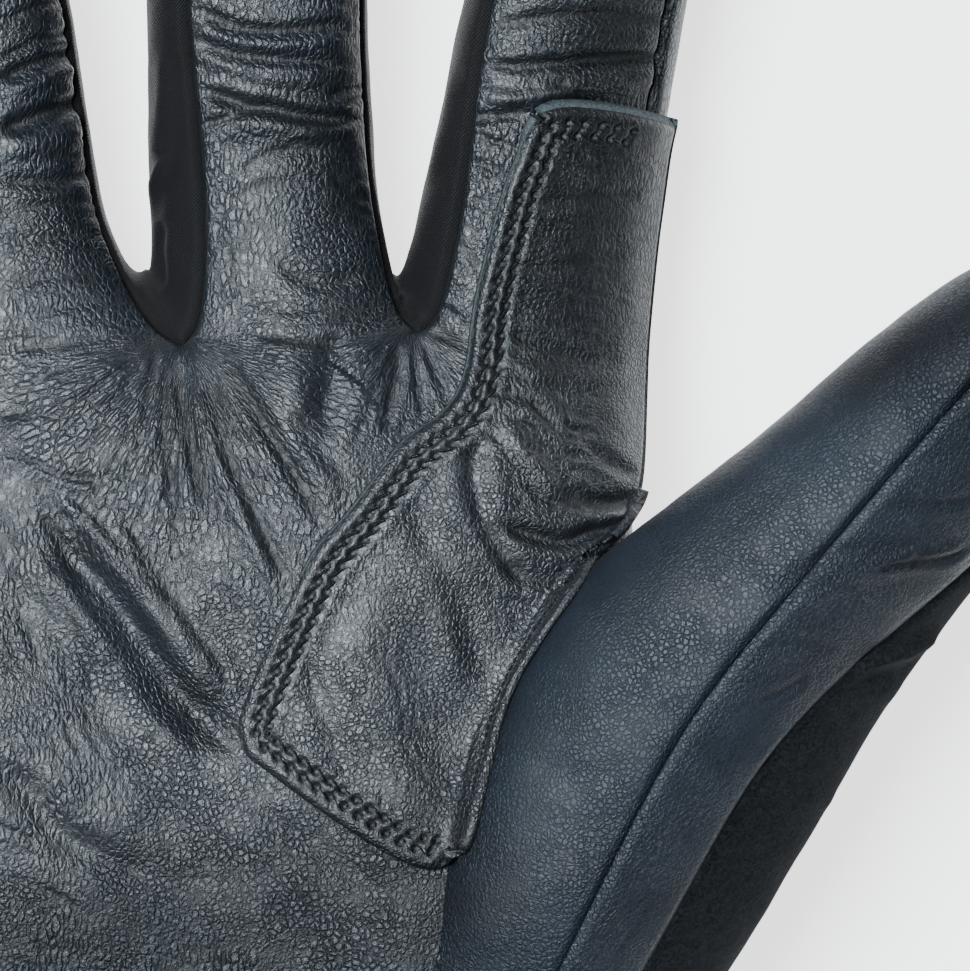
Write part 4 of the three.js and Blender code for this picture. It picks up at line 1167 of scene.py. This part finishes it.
panelLooks = {
    "palm_leather": {"wall": 1.8, "slot": "navy_leather", "material": palmHide, "cuts": 3,
                     "folds": ringFolds + middleFolds + indexFolds + palmFolds},
    "index_side": {"wall": 1.8, "slot": "navy_leather", "material": palmHide, "cuts": 1, "folds": []},
    "fourchette_index_middle": {"wall": 1.4, "slot": "stretch_cloth", "material": knitCloth, "cuts": 3,
                                "folds": clothFolds},
    "fourchette_middle_ring": {"wall": 1.4, "slot": "stretch_cloth", "material": knitCloth, "cuts": 3,
                               "folds": clothFolds},
    "fourchette_ring_little": {"wall": 1.4, "slot": "stretch_cloth", "material": knitCloth, "cuts": 2, "folds": []},
    "back_fleece": {"wall": 2.2, "slot": "fleece", "material": fleeceCloth, "cuts": 1, "folds": []},
    "cuff": {"wall": 2.4, "slot": "cuff_cloth", "material": knitCloth, "cuts": 1, "folds": []},
    "cuff_binding": {"wall": 2.4, "slot": "binding", "material": knitCloth, "cuts": 1, "folds": []},
    "thumb_front": {"wall": 1.8, "slot": "navy_leather", "material": thumbHide, "cuts": 3, "folds": thumbFolds},
    "thumb_side": {"wall": 1.8, "slot": "navy_leather", "material": thumbHide, "cuts": 3, "folds": thumbFolds},
    "thumb_back": {"wall": 2.2, "slot": "fleece", "material": fleeceCloth, "cuts": 3, "folds": backFolds},
}
softRelief = {"broad": 0.3, "middle": 0.1, "fine": 0.025, "folds": 0.78}
seamGroove = {"deep": 1.0, "wide": 0.55}
handCoarse = smoothNet(handNet, 2)
thumbCoarse = smoothNet(thumbNet, 2)


def buildPanel(name):
    look = panelLooks[name]
    ofThumb = name.startswith("thumb")
    fine, tree, other = (thumbFine, thumbTree, handTree) if ofThumb else (handFine, handTree, thumbTree)
    piece = cutPanel(thumbCoarse if ofThumb else handCoarse, name, other)
    giveWall(piece, look["wall"])
    covered = lambda face: name == "palm_leather" and bool(insideOf(
        np.array([toPhoto(*face.calc_center_median().xy)]), patchInside)[0])
    refine(piece, tree, look["cuts"], lambda face: (inView(face.calc_center_median(), 30) and face.normal.z > -0.1
                                                    and not covered(face)))
    seams = seamTree(fine, name)
    carve(piece, lambda place: seams.find(place)[2], look["folds"], seamGroove, softRelief,
          patchOutline if name == "palm_leather" else None)
    if name == "index_side":
        for vert in piece.verts:
            px, py = toPhoto(vert.co.x, vert.co.y)
            limit = mix(700, 646, smoothstep(py, 300, 390))
            if px > limit:
                vert.co.x = fromPhoto(limit, py)[0]
    finishPiece(piece, name + "_skin", name, look["material"])


patchInside = patchOutline + (patchOutline.mean(axis=0) - patchOutline) * 0.12
patch = buildPatch()
patchBorder = [vert.co.copy() for vert in patch.verts
               if any(face[patch.faces.layers.int["outer"]] for face in vert.link_faces)
               and any(not face[patch.faces.layers.int["outer"]] for face in vert.link_faces)]
edgeTree = kdtree.KDTree(len(patchBorder))
for i, place in enumerate(patchBorder):
    edgeTree.insert(place, i)
edgeTree.balance()
carve(patch, lambda place: edgeTree.find(place)[2] + 0.0, patchFolds + stitchFolds,
      {"deep": patchSizes["edgeSink"], "wide": patchSizes["edgeWidth"]},
      {"broad": 0.25, "middle": 0.08, "fine": 0.025, "folds": 0.85, "calm": True})
patch.faces.ensure_lookup_table()
outerLayer = patch.faces.layers.int["outer"]
rawPath = list(seamPath[:250])
for face in patch.faces:
    if not face[outerLayer] and any(other[outerLayer] for edge in face.edges for other in edge.link_faces):
        place = np.array([toPhoto(*face.calc_center_median().xy)])
        if nearCurve(place, rawPath)[0][0] < 8:
            face.material_index = 1
flared = {vert for face in patch.faces if face.material_index == 1 for vert in face.verts
          if not any(other[outerLayer] for other in vert.link_faces)}
pathRun = np.gradient(seamPath, axis=0)
pathRun /= np.linalg.norm(pathRun, axis=1)[:, None]
for vert in flared:
    nearest = np.argmin(np.linalg.norm(seamPath - np.array(toPhoto(vert.co.x, vert.co.y)), axis=1))
    onTop = 1 - smoothstep(seamPath[nearest][1], 112, 150)
    run = pathRun[nearest]
    vert.co += Vector((-run[1], -run[0], 0)) * mix(0.3, 0.85, onTop) + Vector((0, 0, 0.25 * onTop))
patchTree = BVHTree.FromBMesh(patch)
patchThing = finishPiece(patch, "index_patch_skin", "index_patch", patchHide)
patchThing.data.materials.append(rawEdge)
for name in panelNames:
    buildPanel(name)


# Stitches. Each is a short length of thread, sunk at both ends.
def addStitch(piece, place, along, length, thick):
    side = along.cross(Vector((0, 0, 1))).normalized()
    up = side.cross(along)
    turn = Matrix((side, up, along)).transposed().to_4x4()
    size = Matrix.Diagonal((thick / 2, thick / 2, length / 2, 1))
    bmesh.ops.create_uvsphere(piece, u_segments=8, v_segments=5, radius=1,
                              matrix=Matrix.Translation(place) @ turn @ size)


def over(tree, px, py):
    x, y = fromPhoto(px, py)
    hit = tree.ray_cast(Vector((x, y, 200)), Vector((0, 0, -1)))[0]
    return hit


def layStitch(piece, tree, start, end, thick, sink):
    a, b = over(tree, *start), over(tree, *end)
    if a and b:
        addStitch(piece, (a + b) / 2 - Vector((0, 0, sink)), (b - a).normalized(), (b - a).length * 1.25, thick)


patchThread = bmesh.new()
for one, two in zip(doubleRows, doubleRows[1:]):
    gap = np.linalg.norm(two["outer"] - one["outer"])
    if gap > pitch * 1.6:
        continue
    thick = 0.34 if one["small"] else 0.46
    for row in ("outer", "inner"):
        run = two[row] - one[row]
        side = np.array([-run[1], run[0]]) * 0.16
        layStitch(patchThread, patchTree, one[row] + run * 0.18 - side, one[row] + run * 0.82 + side, thick, -0.12)
places, runs = stitchPlaces(rightSeam, 9, 0.5)
for place, run in zip(places, runs):
    layStitch(patchThread, patchTree, place - run * 3, place + run * 3, 0.32, 0.02)
finishPiece(patchThread, "patch_thread", None, thread)

# The thumb's seam shows a dot of thread at each stitch. The thread is pale, a painted highlight standing in for the
# glints on these stitches.
def seamPoints(fine, one, other):
    layer = fine.faces.layers.int["panel"]
    wanted = {panelNames.index(one), panelNames.index(other)}
    points = [(edge.verts[0].co + edge.verts[1].co) / 2 for edge in fine.edges
              if {face[layer] for face in edge.link_faces} == wanted]
    return sorted(points, key=lambda point: point.x + point.y)


dots = {"pitch": 2.0, "thick": 0.32, "long": 0.62, "aside": 0.3, "proud": 0.12}
thumbThread = bmesh.new()
last = None
for point in seamPoints(thumbFine, "thumb_front", "thumb_side"):
    if not inView(point, 60) or (last and (point - last).length < dots["pitch"]):
        continue
    if last:
        run = (point - last).normalized()
        side = run.cross(Vector((0, 0, 1))).normalized()
        top = thumbTree.find_nearest(point + side * dots["aside"])[0]
        addStitch(thumbThread, top + Vector((0, 0, dots["proud"])), (side + run * 0.4).normalized(), dots["long"], dots["thick"])
    last = point
finishPiece(thumbThread, "thumb_thread", None, glintPaleThread)


makeCamera()

floorSize = {"half": 1.2, "drop": 0.0006}
floor = bmesh.new()
bmesh.ops.create_grid(floor, x_segments=1, y_segments=1, size=floorSize["half"])
floorData = bpy.data.meshes.new("floor")
floor.to_mesh(floorData)
floor.free()
floorThing = bpy.data.objects.new("floor", floorData)
floorThing.location = (0.04, 0.03, -floorSize["drop"])
bpy.context.scene.collection.objects.link(floorThing)
material, wire, place = startMaterial("pale floor")
tint = place.noise(0.01, 2).colours((0.86, 0.86, 0.86), (0.9, 0.9, 0.9))
endMaterial(wire, {"Base Color": tint, "Roughness": 0.9, "Emission Color": (1, 1, 1, 1), "Emission Strength": 2.1})
floorData.materials.append(material)

lamps = [
    {"name": "key", "place": (-0.39, 0.26, 1.15), "size": 0.62, "power": 40},
    {"name": "fill", "place": (0.75, -0.1, 0.9), "size": 0.8, "power": 0.5},
    {"name": "low", "place": (-0.5, -0.7, 0.7), "size": 0.7, "power": 1.0},
]
for lamp in lamps:
    data = bpy.data.lights.new(lamp["name"], "AREA")
    data.size = lamp["size"]
    data.energy = lamp["power"]
    data.color = (0.86, 0.94, 1)
    thing = bpy.data.objects.new(lamp["name"], data)
    thing.location = lamp["place"]
    thing.rotation_euler = (Vector((0.03, 0.03, 0.02)) - Vector(lamp["place"])).to_track_quat("-Z", "Y").to_euler()
    bpy.context.scene.collection.objects.link(thing)
world = bpy.data.worlds.new("world")
bpy.context.scene.world = world
world.use_nodes = True
world.node_tree.nodes["Background"].inputs["Color"].default_value = (1, 1, 1, 1)
world.node_tree.nodes["Background"].inputs["Strength"].default_value = 0.05
